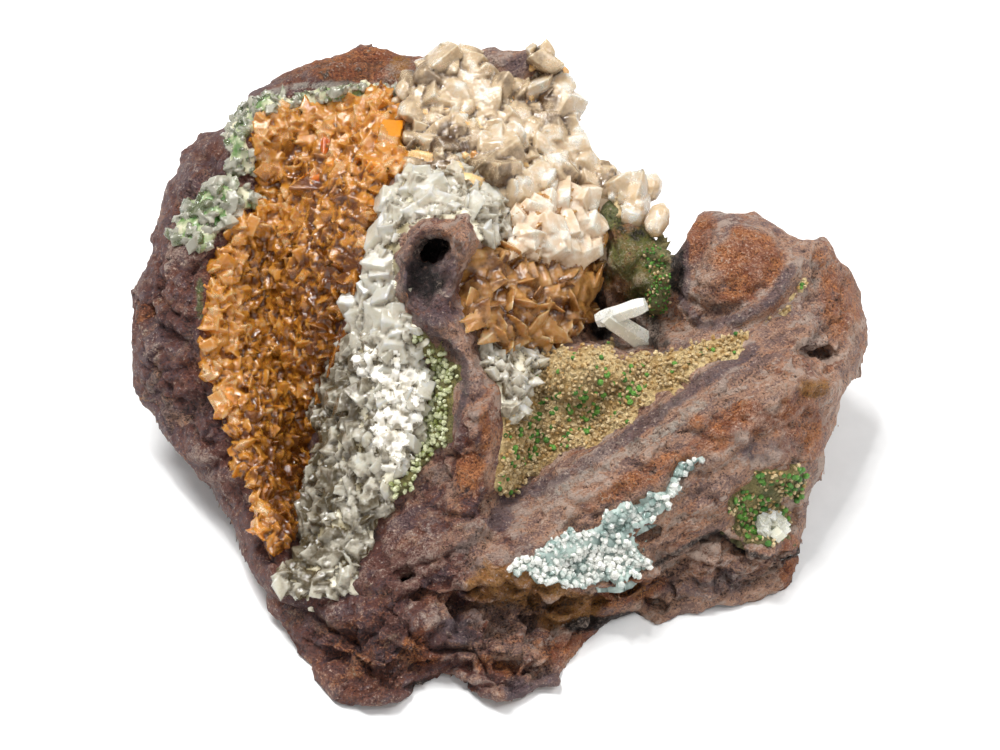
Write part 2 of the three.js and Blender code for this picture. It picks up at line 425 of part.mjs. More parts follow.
// A closed sheet over some of the grid's triangles. top and bottom give w at a vertex and say
// whether it is on the rim. A welded sheet's two sides meet at the rim, any other has walls there.
function sheet(triangles, top, bottom, { welded = false, grow = 0 } = {}) {
  const rim = rimOf(triangles);
  const points = [];
  const indices = [new Map(), new Map()];
  const corner = (side, v) => {
    const onRim = rim.out.has(v);
    const layer = onRim && welded ? 0 : side;
    if (!indices[layer].has(v)) {
      const { a, b, inside } = face.vertices[v];
      const out = rim.out.get(v) ?? new THREE.Vector2();
      const w = layer ? bottom(a, b, inside, onRim) : top(a, b, inside, onRim);
      indices[layer].set(v, points.length);
      points.push(place(a + grow * out.x, b + grow * out.y, w));
    }
    return indices[layer].get(v);
  };
  const faces = triangles.flatMap(([p, q, r]) => [
    [corner(0, p), corner(0, q), corner(0, r)],
    [corner(1, p), corner(1, r), corner(1, q)],
  ]);
  if (!welded)
    for (const [p, q] of rim.edges)
      faces.push(
        [corner(0, p), corner(1, p), corner(1, q)],
        [corner(0, p), corner(1, q), corner(0, q)],
      );
  const geometry = new THREE.BufferGeometry().setFromPoints(points);
  return geometry.setIndex(faces.flat());
}

// A closed geometry as a solid that can be joined and cut.
function solidOf(geometry) {
  const bare = new THREE.BufferGeometry().setAttribute("position", geometry.getAttribute("position"));
  if (geometry.index) bare.setIndex(geometry.index);
  const merged = mergeVertices(bare);
  return new wasm.Manifold(
    new wasm.Mesh({
      numProp: 3,
      vertProperties: merged.getAttribute("position").array,
      triVerts: new Uint32Array(merged.index.array),
    }),
  );
}

// A solid's surface as a geometry.
function geometryOf(solid) {
  const { vertProperties, triVerts } = solid.getMesh();
  return new THREE.BufferGeometry()
    .setAttribute("position", new THREE.BufferAttribute(vertProperties, 3))
    .setIndex(new THREE.BufferAttribute(triVerts, 1));
}

// The largest body of a solid, as a named mesh.
function meshOf(name, solid, look) {
  const [largest] = solid.decompose().sort((p, q) => q.volume() - p.volume());
  const geometry = geometryOf(largest);
  geometry.computeVertexNormals();
  const mesh = new THREE.Mesh(geometry, new THREE.MeshStandardMaterial({ ...look, flatShading: true }));
  mesh.name = name;
  return mesh;
}

const joined = (solids) => wasm.Manifold.union(solids);

// A solid and its copies moved to the four corners of a tetrahedron: what has to stay clear of it.
function roomAround(solid) {
  const corners = [[1, 1, 1], [1, -1, -1], [-1, 1, -1], [-1, -1, 1]];
  const moved = corners.map((corner) => {
    const [x, y, z] = corner.map((c) => c * GAP);
    return solidOf(geometryOf(solid).translate(x, y, z));
  });
  return joined([solid, ...moved]);
}

// The rock without its holes. A grown copy is what the crusts are cut back from.
function rockBody(grow) {
  const top = (a, b, inside) => front(a, b, inside) + grow;
  const bottom = (a, b, inside) => back(a, b, inside) - grow;
  return solidOf(sheet(face.triangles, top, bottom, { welded: true, grow: 1.5 * grow }));
}

// A tapering plug along the line of sight, down to its floor.
function plug({ at, across, floor, turn }) {
  const reach = 40;
  const shape = new THREE.CylinderGeometry(1.3, 0.7, reach, 10);
  shape.rotateX(Math.PI / 2);
  shape.scale(across[0], across[1], 1);
  shape.rotateZ(turn);
  const axes = new THREE.Matrix4().makeBasis(RIGHT, UP, TOWARDS_EYE);
  axes.setPosition(place(...at, floor + reach / 2));
  return solidOf(shape.applyMatrix4(axes));
}

// Draws what lies below a height up to it, so that a crystal stands on a flat foot.
function footed(shape, foot = -0.12) {
  const points = shape.getAttribute("position");
  for (let i = 0; i < points.count; i++) points.setZ(i, Math.max(points.getZ(i), foot));
  return shape;
}

// Unit crystals that point along +Z: one wide from the middle, one high above it.
const HABITS = {
  rhomb() {
    const shape = new THREE.BoxGeometry(2, 2, 2);
    const diagonal = new THREE.Vector3(1, 1, 1).normalize();
    const upright = new THREE.Quaternion().setFromUnitVectors(diagonal, new THREE.Vector3(0, 0, 1));
    shape.applyQuaternion(upright);
    return footed(shape.scale(Math.sqrt(3 / 8), Math.sqrt(3 / 8), 1 / Math.sqrt(3)));
  },
  blade: () => footed(new THREE.OctahedronGeometry(1, 0).rotateX(Math.PI / 2).scale(1, 0.5, 1), -0.25),
  grain: () => footed(new THREE.OctahedronGeometry(1, 0)),
};

// The crystals of a crust: one for each cell of a jittered hexagonal grid inside its region.
function crystals({ region, skin, crystals: kind }) {
  const outline = REGIONS[region];
  const rowHeight = kind.spacing * Math.sqrt(0.75);
  const [a0, a1] = bounds(0);
  const [b0, b1] = bounds(1);
  const made = [];
  for (let j = 0; b0 + j * rowHeight < b1; j++)
    for (let i = 0; a0 + i * kind.spacing < a1; i++) {
      const random = (k) => hash(i, j, k + 11 * region.length + region.charCodeAt(0));
      const a = a0 + (i + (j % 2) / 2 + 0.5 * (random(1) - 0.5)) * kind.spacing;
      const b = b0 + j * rowHeight + 0.5 * (random(2) - 0.5) * kind.spacing;
      if (insideOf(outline, a, b).depth < 0.2 * kind.spacing) continue;
      const at = (da, db) => {
        const inside = insideOf(OUTLINE, a + da, b + db).depth;
        return place(a + da, b + db, front(a + da, b + db, inside) + skin);
      };
      const foot = at(0, 0);
      const reach = 0.8;
      const normal = at(reach, 0).sub(at(-reach, 0)).cross(at(0, reach).sub(at(0, -reach))).normalize();
      const lean = new THREE.Vector3(random(3) - 0.5, random(4) - 0.5, random(5) - 0.5);
      const along = normal.addScaledVector(lean, 2 * kind.tilt).normalize();
      const size = THREE.MathUtils.lerp(...kind.size, random(6));
      const half = size * THREE.MathUtils.lerp(...kind.stretch, random(7));
      const shape = HABITS[kind.habit]().scale(size, size, half);
      shape.rotateZ(random(8) * 2 * Math.PI);
      shape.applyQuaternion(new THREE.Quaternion().setFromUnitVectors(new THREE.Vector3(0, 0, 1), along));
      made.push(solidOf(shape.translate(...foot)));
    }
  return made;
}

// A crust: a thin skin over its region and the crystals that stand in it.
function crustBody(crust) {
  const triangles = face.triangles.filter((t) => {
    const middle = (axis) => t.reduce((sum, v) => sum + face.vertices[v][axis] / 3, 0);
    return insideOf(REGIONS[crust.region], middle("a"), middle("b")).depth > 0;
  });
  const top = (a, b, inside, onRim) => front(a, b, inside) + GAP + (onRim ? 0.4 : 1) * crust.skin;
  const bottom = (a, b, inside) => front(a, b, inside) + GAP;
  const skin = solidOf(sheet(triangles, top, bottom));
  return crust.crystals ? joined([skin, ...crystals(crust)]) : skin;
}

// A six-sided prism with bevelled ends.
function prism({ from, to, radius, flat }) {
  const [foot, tip] = [place(...from), place(...to)];
  const length = foot.distanceTo(tip);
  const bevel = 0.35 * radius;
  const profile = [[0, 0], [0.75 * radius, 0], [radius, bevel], [radius, length - bevel], [0.75 * radius, length], [0, length]];
  const shape = new THREE.LatheGeometry(profile.map((p) => new THREE.Vector2(...p)), 6);
  shape.scale(1, 1, flat);
  const along = tip.clone().sub(foot).normalize();
  shape.applyQuaternion(new THREE.Quaternion().setFromUnitVectors(new THREE.Vector3(0, 1, 0), along));
  return solidOf(shape.translate(...foot));
}

const specimen = new THREE.Group();

const ground = solidOf(new THREE.BoxGeometry(400, 400, 100).translate(0, 0, -50));
const rock = HOLES.reduce((body, hole) => body.subtract(plug(hole)), rockBody(0)).subtract(ground);
specimen.add(meshOf("limonite_matrix", rock, ROCK));

const rockSkin = rockBody(GAP);
let taken = rockSkin;
for (const crust of CRUSTS) {
  const body = crustBody(crust).subtract(taken);
  specimen.add(meshOf(crust.name, body, crust.look));
  taken = taken.add(roomAround(body));
}
specimen.add(meshOf("milky_prism_pair", joined(PRISMS.map(prism)).subtract(taken), WHITE));

export default specimen;
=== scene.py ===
import sys
import logging
import math
from dataclasses import dataclass, field
from enum import Enum
from itertools import product
from typing import Protocol

import bpy
import numpy as np
from mathutils import Matrix, Vector
from numpy.typing import NDArray


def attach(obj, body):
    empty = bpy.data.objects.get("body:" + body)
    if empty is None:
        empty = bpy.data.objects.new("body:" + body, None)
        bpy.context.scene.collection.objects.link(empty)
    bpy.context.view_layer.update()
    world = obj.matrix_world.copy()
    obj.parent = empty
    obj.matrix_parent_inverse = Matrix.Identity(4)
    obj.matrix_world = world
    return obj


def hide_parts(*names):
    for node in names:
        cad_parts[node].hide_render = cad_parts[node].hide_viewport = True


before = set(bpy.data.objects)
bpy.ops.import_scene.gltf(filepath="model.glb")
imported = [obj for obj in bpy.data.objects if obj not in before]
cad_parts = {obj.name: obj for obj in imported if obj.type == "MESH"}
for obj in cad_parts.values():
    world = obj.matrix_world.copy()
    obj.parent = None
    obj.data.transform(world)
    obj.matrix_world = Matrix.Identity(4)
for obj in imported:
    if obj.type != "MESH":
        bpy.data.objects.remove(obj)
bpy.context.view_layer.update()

# A hand specimen of hemimorphite and calcite on brown iron-oxide rock. Places and sizes in this
# file are millimetres, and turn into metres where a mesh or a texture is made. A place on the face
# of the specimen is (a, b, w): a to the right and b up as the eye of EYE sees them, and w out of
# the face plane, towards that eye.

Array = NDArray[np.float64]
MM = 0.001
LOG = logging.getLogger("specimen")


@dataclass(frozen=True)
class Eye:
    """The eye that the specimen is laid out for, which looks along +Y and down at its face plane."""

    tilt_deg: float = 45.0
    distance: float = 420.0
    middle: tuple[float, float, float] = (0.2, -0.9, 18.7)
    picture_width: float = 140.0
    sensor_mm: float = 36.0

    @property
    def axes(self) -> tuple[Array, Array, Array]:
        """Right, up on the face, and towards the eye, as unit vectors."""
        sine, cosine = math.sin(math.radians(self.tilt_deg)), math.cos(math.radians(self.tilt_deg))
        return np.array([1.0, 0.0, 0.0]), np.array([0.0, sine, cosine]), np.array([0.0, -cosine, sine])

    def place(self, a: Array, b: Array, w: Array) -> Array:
        """Places in space: middle + (a right + b up)(1 - w / distance) + w towards.

        Args:
            a: millimetres to the right on the face.
            b: millimetres up on the face.
            w: millimetres out of the face plane.

        Returns:
            The points, with x, y and z along the last axis.
        """
        right, up, towards = self.axes
        nearer = (1 - w / self.distance)[..., None]
        flat = a[..., None] * right + b[..., None] * up
        return np.array(self.middle) + flat * nearer + w[..., None] * towards

    def face_of(self, points: Array) -> tuple[Array, Array, Array]:
        """The (a, b, w) of points in space, the inverse of place."""
        right, up, towards = self.axes
        away = points - np.array(self.middle)
        w = away @ towards
        nearer = 1 - w / self.distance
        return away @ right / nearer, away @ up / nearer, w


EYE = Eye()

# The rock's outline on the face, clockwise from the top left.
OUTLINE = np.array([
    [-21.6, 45.6], [-19.7, 46.9], [-15.7, 46.2], [-13, 44.8], [-9.2, 45.1], [-5.6, 44.5], [-3.2, 45.8],
    [-1.4, 46.1], [2.1, 45.6], [4.9, 46.3], [6.3, 45.5], [7.8, 41.6], [9.2, 37.4], [10.8, 33.2],
    [12.3, 30.1], [14.8, 27.9], [18.2, 25.9], [20.7, 22.8], [21.8, 18.9], [23, 17.5], [24.4, 16.9],
    [25.9, 19], [26.3, 20.2], [27.4, 22.5], [29.3, 23.4], [30.7, 23.2], [31.6, 22.7], [33.3, 23],
    [34.9, 22.8], [35.6, 23.2], [36.3, 22.3], [38.1, 21.4], [40.5, 20], [41.6, 19.3], [44.2, 19.3],
    [45.2, 19.7], [45.9, 19.5], [46.9, 17.6], [47.9, 15.7], [48.9, 15.3], [49.7, 14.1], [50.5, 12.3],
    [51.2, 9.1], [52.1, 6.4], [51.9, 3.8], [51.1, 1.5], [50.5, 0.8], [51.1, -0.3], [49.6, -1.1], [48, -3.2],
    [47.7, -6.4], [47, -8.3], [45.9, -9.7], [45.6, -14.4], [44.8, -15.3], [43.7, -16.8], [42.4, -24.6],
    [41.9, -27.2], [41.2, -29], [40.3, -30.9], [37.8, -30.9], [37, -31.9], [33.6, -32.5], [30.5, -32.6],
    [28.4, -33.5], [26.3, -33.3], [23.9, -34.7], [22.1, -35.4], [20.3, -34.4], [18.5, -33.6], [16, -34.4],
    [13.7, -36], [10.9, -38.9], [9, -41.7], [9.1, -43.7], [5.3, -44.2], [2.9, -45.8], [0.3, -46.2],
    [-3.4, -45.5], [-5.3, -44.5], [-6.6, -43.3], [-11.9, -45.2], [-14.6, -46.3], [-20.2, -46.6],
    [-22.8, -46.8], [-23.8, -45.4], [-24.8, -44], [-26, -43.1], [-26.7, -40.7], [-28.7, -39.2],
    [-29.8, -36.5], [-31.4, -34.2], [-32.9, -33], [-33.2, -29.8], [-35, -28.3], [-37.1, -24.5],
    [-37.4, -21.7], [-39.5, -18.9], [-40.9, -16.1], [-42.7, -13.9], [-44.9, -11.6], [-47.3, -8.8],
    [-49.1, -5.5], [-50.4, -4.6], [-51.7, -2], [-51.9, 5.9], [-52.1, 9.8], [-51.9, 11.9], [-50.8, 13.7],
    [-49, 16.5], [-48.7, 17.8], [-49.4, 18.9], [-47.9, 22.8], [-47.7, 24.1], [-46.8, 27.3], [-45.6, 28.4],
    [-44.9, 31.5], [-43, 32.9], [-42.7, 34.3], [-39.8, 34.2], [-38.2, 35], [-37.5, 37], [-35.8, 38.1],
    [-35.6, 39.8], [-33.9, 40.5], [-31.2, 42], [-28.7, 43.3], [-25.5, 44.4],
])

# Heights of the rock's surface, (a, b, w).
HEIGHTS = np.array([
    # outer edge of the shell, clockwise from the top
    [-21.6, 45.2, -13], [-14, 44.4, -13], [-9.2, 44.5, -12], [6, 45.5, -9], [9.2, 37.4, -9],
    [12.3, 30.1, -9], [18.2, 25.9, -10], [21.8, 18.9, -12], [24.4, 17.1, -10], [26.6, 20.9, -6],
    [29.3, 23.1, -4], [35.6, 23, -3], [38.1, 21.3, -3], [41.6, 19.2, -4], [45.2, 19.5, -8],
    [46.9, 17.5, -9], [50.5, 12.3, -9], [51.9, 5.6, -8], [51.1, 0, -6], [47.7, -6.3, 0], [45.6, -14.4, 2],
    [42.4, -24.5, 4], [28.4, -33.2, 9], [22.1, -35.1, 10], [18.5, -33.7, 11], [13.7, -36, 13],
    [9, -41.6, 18], [8.4, -43.4, 20], [0.3, -45.8, 22], [-6.6, -43.3, 19], [-14, -45.9, 21],
    [-32.9, -31.5, 10], [-37.1, -23.8, 4], [-40.9, -15.8, 0], [-47.3, -8.4, -4], [-51.7, -1.4, -7],
    [-51.7, 10.5, -9], [-49, 18.9, -11], [-46.8, 27.3, -13], [-42.7, 33.9, -14], [-37.5, 36.4, -14],
    [-31.2, 41.6, -14],
    # face of the left shell
    [-21, 42.4, -9.5], [-28, 41.3, -11], [-35, 38.5, -11], [-39.9, 31.5, -9], [-43.4, 27.3, -8],
    [-45.5, 21.7, -7], [-46.9, 14.7, -4], [-47.6, 7.7, -2.5], [-46.9, 0.7, -1], [-43.4, -6.3, 1.5],
    [-39.9, -11.9, 3.5], [-34.3, -24.5, 10], [-30.8, -30.1, 13],
    # lip of the amber hollow
    [-11.2, 41.3, -8], [-22.4, 39.9, -7.5], [-32.2, 37.8, -7], [-36.4, 32.9, -5], [-39.2, 25.9, -3.5],
    [-42, 18.9, -1.5], [-42.7, 11.9, 0.5], [-42.3, 4.9, 1], [-41.3, -0.7, 2], [-38.5, -7.7, 4.5],
    [-36.4, -14.7, 7], [-34.3, -21.7, 10], [-31.5, -28, 13],
    # floor of the amber hollow
    [-29.4, 35.7, -10], [-21, 37.1, -11], [-33.6, 27.3, -8], [-19.6, 30.1, -14.5], [-14, 31.5, -11],
    [-36.4, 18.9, -5], [-29.4, 20.3, -11], [-22.4, 21.7, -16], [-18.2, 23.1, -15], [-38.5, 11.9, -3.5],
    [-28, 11.9, -14], [-23.1, 11.9, -19], [-20.7, 13.3, -18], [-38.5, 4.9, -2.5], [-33.6, 4.9, -6.5],
    [-28, 4.9, -14], [-24.5, 4.2, -19], [-36.4, -3.5, 0], [-32.2, -3.5, -4.5], [-28, -3.5, -13],
    [-25.5, -3.5, -16], [-34.3, -10.5, 3], [-30.8, -10.5, -3], [-27.3, -11.2, -9], [-32.9, -16.1, 6],
    [-30.1, -16.8, 0], [-27.6, -16.1, -5], [-31.5, -21.7, 9], [-29.4, -21.7, 4], [-28, -21.7, 1],
    [-30.1, -25.9, 11], [-28, -25.9, 8],
    # clear ridge
    [-11.9, 26.6, 4.5], [-15.7, 22.4, 0], [-16.8, 17.5, 1], [-14, 18.9, 6], [-10.5, 22.4, 8],
    [-18.2, 10.5, 2], [-14.7, 11.9, 8], [-11.2, 11.9, 10], [-21, 3.5, 1], [-18.2, 4.2, 8], [-12.6, 4.9, 11],
    [-22.7, -3.5, 1], [-20.7, -3.5, 8], [-16.1, -3.5, 10.5], [-11.9, -3.5, 11], [-24.1, -9.1, 2],
    [-22.1, -9.8, 8.5], [-16.8, -10.5, 11], [-25.6, -14.7, 3], [-23.5, -16.1, 8.5], [-18.2, -17.5, 11.5],
    [-14, -14.7, 12], [-26.3, -20.3, 5], [-24.5, -21.7, 9.5], [-21, -23.1, 12], [-27, -25.9, 8],
    [-25.2, -27.3, 12],
    # olive strip beside the wall
    [-8.4, 2.1, 9], [-7.7, -3.5, 9.5], [-9.1, -9.1, 10], [-11.2, -14.7, 11.5], [-14, -20.3, 12.5],
    # thin wall between the hollows
    [-4.9, 20, 15], [-6.7, 14.7, 12.5], [-8.4, 10.5, 13.5], [-7, 7, 14.5], [-4.2, 3.5, 15],
    [-2.4, -0.7, 15.5], [-1.7, -4.9, 16], [-2.1, -9.1, 16.5], [-3.1, -14.7, 17], [-4.2, -18.9, 17.5],
    [-6.3, -23.1, 17.5], [-6.7, -17.5, 16],
    # pocket behind the wall
    [-0.7, -3.5, 1], [0, 3.5, -5], [-3.5, 7, -3], [-4.2, 11.9, -8], [-1.4, 11.9, -12], [8.4, 10.5, -14],
    [12.6, 7, -15], [15.4, 7.7, -17], [14, 11.9, -15], [5.6, 5.6, -10], [2.8, 4.2, -6], [1.4, 0, -1],
    [0.4, -7.7, 3],
    # ochre floor
    [8.4, 2.8, 3.5], [12.6, 3.8, 3], [16.8, 2.7, 3], [14, -0.7, 6], [19.6, 0, 5.5], [2.8, -4.9, 4],
    [7, -6.3, 6.5], [2.8, -10.5, 6.5], [8.4, -9.1, 7.5], [0.7, -15.4, 9], [-0.4, -11.2, 6], [25.2, 0.7, 8],
    [30.8, 3.5, 7], [22.4, 2.8, 4.5],
    # upper edge of the slab
    [2.1, -17.9, 13], [8.4, -14.7, 13.5], [14, -11.5, 13.5], [19.6, -7.4, 13.5], [25.2, -3.2, 13],
    [30.1, 0.4, 12.5], [35, 3.2, 10.5], [7.7, -12.5, 9.5], [14, -9.1, 9], [19.6, -5.3, 8.7],
    [25.2, -1.4, 9], [30.1, 2, 8.7],
    # face of the slab
    [7, -18.9, 15.5], [14, -16.1, 16], [21, -11.9, 16], [35, -3.5, 14], [42, -0.7, 11], [46.2, -1.4, 7],
    [28, -14.7, 14.5], [35, -10.5, 13.5], [44.8, -9.1, 6], [0, -23.1, 16.5], [7, -24.5, 17],
    [16.8, -23.1, 15], [25.2, -21.7, 14], [30.8, -17.5, 13.5], [38.5, -12.6, 12], [42, -13.3, 8.5],
    [39.2, -17.5, 9], [35.7, -20.3, 8.5], [32.9, -21.7, 9.5],
    # below the slab
    [17.5, -30.1, 15.5], [21, -30.1, 13], [25.2, -27, 11], [32.2, -28, 11], [28, -31.2, 8.5],
    [21.7, -33.2, 8], [33.6, -31.2, 7.5], [32.9, -24.2, 11.5], [37.8, -24.8, 10],
    # front block
    [-9.8, -30.1, 18], [-14, -34.3, 19.5], [-19.6, -31.5, 16], [-23.8, -37.1, 17.5], [-19.6, -42.7, 20.5],
    [-11.2, -39.9, 20.5], [5.6, -42.7, 19], [-9.8, -44.1, 17], [-25.2, -31.5, 14],
    # right lobe
    [33.6, 16.8, 3.5], [29.4, 18.9, 2.5], [37.8, 17.5, 3], [33.6, 10.5, 6], [29.4, 11.9, 5],
    [39.9, 16.4, 2.5], [26.6, 14.7, 0], [25.8, 10.5, -2], [28, 7, 3.5], [23.8, 4.9, 3], [41.3, 11.9, 1.5],
    [37.8, 8.8, 3.5], [33.6, 6, 5.5],
    # right flank
    [44.8, 14.7, -1.5], [47.6, 11.9, -3], [49, 6.3, -3.5], [43.1, 10.5, 2], [40.6, 6, 6.5],
    [36.4, 4.2, 8.5], [47.3, 3.5, 1], [45.5, 0.4, 3.5],
    # mossy boulder
    [16.1, 22.4, -6], [17.5, 18.9, -5.5], [21, 18.2, -9], [21, 14.7, -4], [23.5, 12.6, -5], [23.1, 8.8, -7],
    [19.6, 10.5, -4.5], [17.1, 14.7, -5], [25.5, 9.1, -11], [14, 18.9, -10], [13.6, 15.4, -14],
    [17.5, 5.6, -12], [21, 6.3, -8],
    # crest
    [-7, 39.9, -9], [0, 39.9, -9], [5.6, 39.9, -10], [-8.4, 35.7, -8], [2.8, 34.3, -8], [8.4, 34.3, -10],
    [-7, 30.1, -6], [0, 28.7, -6.5], [5.6, 28.7, -7.5], [-2.8, 24.5, -2], [-7, 25.9, 1.5], [2.8, 24.5, -6],
    [8.4, 22.4, -9], [14, 23.8, -9], [5.6, 18.9, -11], [0.7, 18.9, -8],
])

# Where each crust grows on the rock.
REGIONS = {
    "amber": np.array([
        [-33.3, 36], [-28, 36.8], [-21.7, 38.5], [-16.1, 39.2], [-13.7, 37.1], [-14.3, 32.9], [-13.7, 29.4],
        [-15.7, 26.6], [-17.1, 22.4], [-17.9, 17.5], [-19.3, 14], [-21.4, 10.5], [-24.2, 1.4],
        [-25.6, -7.7], [-27, -11.9], [-28.4, -20.3], [-29.8, -23.8], [-32.2, -24.2], [-33.3, -21.7],
        [-34.3, -17.5], [-37.5, -10.5], [-38.1, -7], [-39.9, -3.5], [-41, 0.7], [-42, 10.5], [-37.8, 18.9],
        [-35.3, 22.4], [-33.3, 25.9], [-33.9, 30.1], [-35, 32.9],
    ]),
    "clear": np.array([
        [-14, 27.3], [-8.4, 29], [-2.8, 29.4], [0.7, 25.2], [0, 19.6], [-2.8, 18.2], [-4.5, 21.4],
        [-8.4, 21.4], [-11.5, 20], [-13.3, 16.1], [-13.3, 11.9], [-10.5, 4.2], [-9.8, -0.7], [-12.3, -11.9],
        [-16.8, -20.3], [-18.2, -25.2], [-21.7, -30.4], [-28, -31.5], [-31.1, -30.8], [-30.1, -27.3],
        [-28, -23.1], [-25.9, -13.3], [-24.5, -9.1], [-25.2, -4.9], [-23.8, 0.7], [-20.3, 10.5],
        [-17.5, 15.4], [-16.8, 20.3], [-15.4, 24.5],
    ]),
    "crest": np.array([
        [-10.5, 42.7], [-7.7, 43.8], [-4.2, 43.8], [-1.4, 41.3], [1.7, 39.9], [4.8, 40.7], [5.2, 44.9],
        [6.6, 46.1], [10.1, 35], [11.9, 31.2], [14, 28.4], [18.2, 26.2], [20.4, 22.8], [19.6, 21.4],
        [16.1, 23.8], [10.5, 26.6], [8.4, 25.2], [2.8, 23.8], [0, 24.5], [-2.8, 27.3], [-12.6, 31.5],
        [-13.4, 34.3], [-12.9, 37.8], [-13.4, 39.9],
    ]),
    "spray": np.array([
        [0, 22.4], [2.1, 23.8], [6.3, 24.5], [8.4, 25.9], [11.2, 25.9], [12.9, 22.4], [14, 18.2],
        [12.9, 11.6], [10.1, 6], [7.7, 3.5], [2.8, 3.2], [-1.4, 4.9], [-4.9, 7], [-6.3, 10.5], [-5.9, 15.8],
        [-2.8, 17.5], [0.7, 18.2],
    ]),
    "low": np.array([
        [-3.1, 4.9], [0, 3.2], [6.3, 3.2], [7, 2.1], [4.2, 0.4], [2.1, -5.6], [0, -6], [-1.1, -3.5],
    ]),
    "hemimorphite": np.array([
        [1.5, -27.2], [3.2, -25.9], [6.3, -24.6], [7.6, -23.2], [9.4, -22.3], [13.6, -22], [15.4, -19.2],
        [20.9, -17.6], [21.1, -15.5], [23, -16.1], [23.9, -14.7], [24.2, -12.6], [25.5, -11.6],
        [27.9, -11.8], [24.6, -14.8], [24.4, -17.1], [23.4, -18.9], [21.4, -20.9], [19.6, -21.4],
        [18.8, -22.8], [20.9, -25.1], [21.1, -26.5], [18.5, -28.3], [14.1, -29.3], [12, -30.2],
        [8.4, -30.1], [6.9, -28.7], [4.5, -27.7],
    ]),
    "rim_lower": np.array([
        [-45.2, 18.8], [-42.1, 17.5], [-39.6, 18.5], [-37.4, 20.6], [-34.3, 25.1], [-38.1, 26.9],
        [-40.9, 26.6], [-42.1, 24.6], [-44, 22.8], [-44.9, 20.6],
    ]),
    "rim_upper": np.array([
        [-38.9, 30.1], [-37.8, 35], [-35.7, 37.8], [-26.6, 40.5], [-19.6, 40.6], [-14, 39.9], [-16.1, 38.9],
        [-21.7, 38.6], [-28, 37.1], [-33.3, 36.3], [-35, 33.2], [-34.2, 28.4], [-36.4, 28.1], [-38.1, 28.7],
    ]),
    "olive": np.array([
        [-11.5, 5.6], [-9.8, 4.9], [-5.3, 1.8], [-4.5, -0.7], [-6.3, -7.7], [-8.4, -10.5], [-10.5, -12.6],
        [-12.6, -16.1], [-14.3, -17.5], [-14.7, -16.1], [-12.6, -12.6], [-10.1, -3.5], [-9.8, 0.7],
        [-10.5, 3.5],
    ]),
    "ochre": np.array([
        [-0.7, -5.6], [2.8, -3.5], [3.5, 0], [5.6, 1.8], [8.4, 3.5], [12.6, 4.6], [16.1, 3.5], [17.5, 2.4],
        [28.7, 4.2], [31.5, 6.3], [32.9, 8], [39.9, 13.3], [40.9, 15.8], [42, 15.8], [42.7, 13.3],
        [42.3, 10.5], [39.2, 8.4], [35.7, 7], [34.3, 4.2], [35.3, 3.5], [32.9, 2.4], [30.1, 2.1],
        [26.6, 0.3], [23.1, -2.9], [15.4, -8.3], [9.8, -11.6], [4.2, -14.1], [0.7, -17.2], [-1.1, -16.1],
        [-1.7, -12.6],
    ]),
    "side_druse": np.array([
        [35.7, -13.3], [31.8, -18.3], [31.8, -22], [35.1, -23.5], [39.1, -24.2], [40.9, -23.1], [40.6, -21],
        [39.6, -18.1], [42.4, -16.5], [42.4, -13.7], [39.8, -13],
    ]),
    "chalk": np.array([
        [-18.9, 3.2], [-14.7, 3.8], [-11.2, 1.8], [-10.6, -2.1], [-11.9, -7.7], [-13.3, -11.2],
        [-15.1, -13.3], [-17.1, -11.2], [-17.9, -7.7], [-16.1, -4.9], [-17.9, -1.4], [-19.3, 0.7],
    ]),
    "spherules": np.array([
        [-1.4, -10.5], [0, -8], [4.2, -5.6], [6.3, -3.5], [8.4, -2.1], [11.9, -0.7], [15.4, 0.4],
        [18.9, 0.7], [21, -1.4], [19.6, -3.8], [15.4, -6.3], [12.6, -9.1], [8.4, -10.5], [4.2, -12.6],
        [1.4, -13.3],
    ]),
    "boulder_moss_patch": np.array([
        [19.6, 17.8], [21.7, 18.1], [23.5, 16.4], [24.1, 12.6], [23.5, 9.4], [21.7, 8], [20.4, 10.5],
        [21.3, 14], [19.6, 15.8],
    ]),
    "leaves": np.array([
        [0.7, 22.4], [4.2, 24.5], [8.4, 26.5], [12.3, 25.9], [13.7, 22.4], [14.4, 18.3], [12.6, 16.4],
        [8.4, 16.4], [4.2, 16.4], [1.1, 16.7], [0.3, 19.6],
    ]),
    "milk_blob": np.array([
        [36, -20.9], [37, -20], [38.4, -20], [39.5, -21.1], [39.2, -22.8], [37.5, -23.5], [36, -22.5],
    ]),
}


# What hashed mixes with: three large primes and the lowest 32 bits. DRAW is the step along a lattice
# from one random number of a cell to its next, and LEVEL_DRAW the step to a chip's level.
PRIMES = (374761393, 668265263, 1274126177)
LOW_BITS = 0xFFFFFFFF
DRAW = 97
LEVEL_DRAW = (0, 0, 677)


def hashed(i: Array, j: Array, k: Array) -> Array:
    """Repeatable numbers from 0 to 1 for whole numbers: their weighted sum, mixed by shifts."""
    whole = [n.astype(np.int64) * prime for n, prime in zip((i, j, k), PRIMES)]
    mixed = sum(whole) & LOW_BITS
    mixed = ((mixed ^ (mixed >> 13)) * PRIMES[2]) & LOW_BITS
    return (mixed ^ (mixed >> 16)) / (LOW_BITS + 1.0)


def value_noise(x: Array, y: Array, z: Array) -> Array:
    """Noise from -1 to 1: random values on a whole-number lattice, blended by f f (3 - 2 f)."""
    cells = [np.floor(v).astype(np.int64) for v in (x, y, z)]
    shares = [v - c for v, c in zip((x, y, z), cells)]
    smooth = [f * f * (3 - 2 * f) for f in shares]
    total = np.zeros(np.shape(x))
    for corner in product((0, 1), repeat=3):
        weight = np.ones(np.shape(x))
        for high, share in zip(corner, smooth):
            weight = weight * (share if high else 1 - share)
        total += weight * hashed(*(c + high for c, high in zip(cells, corner)))
    return 2 * total - 1


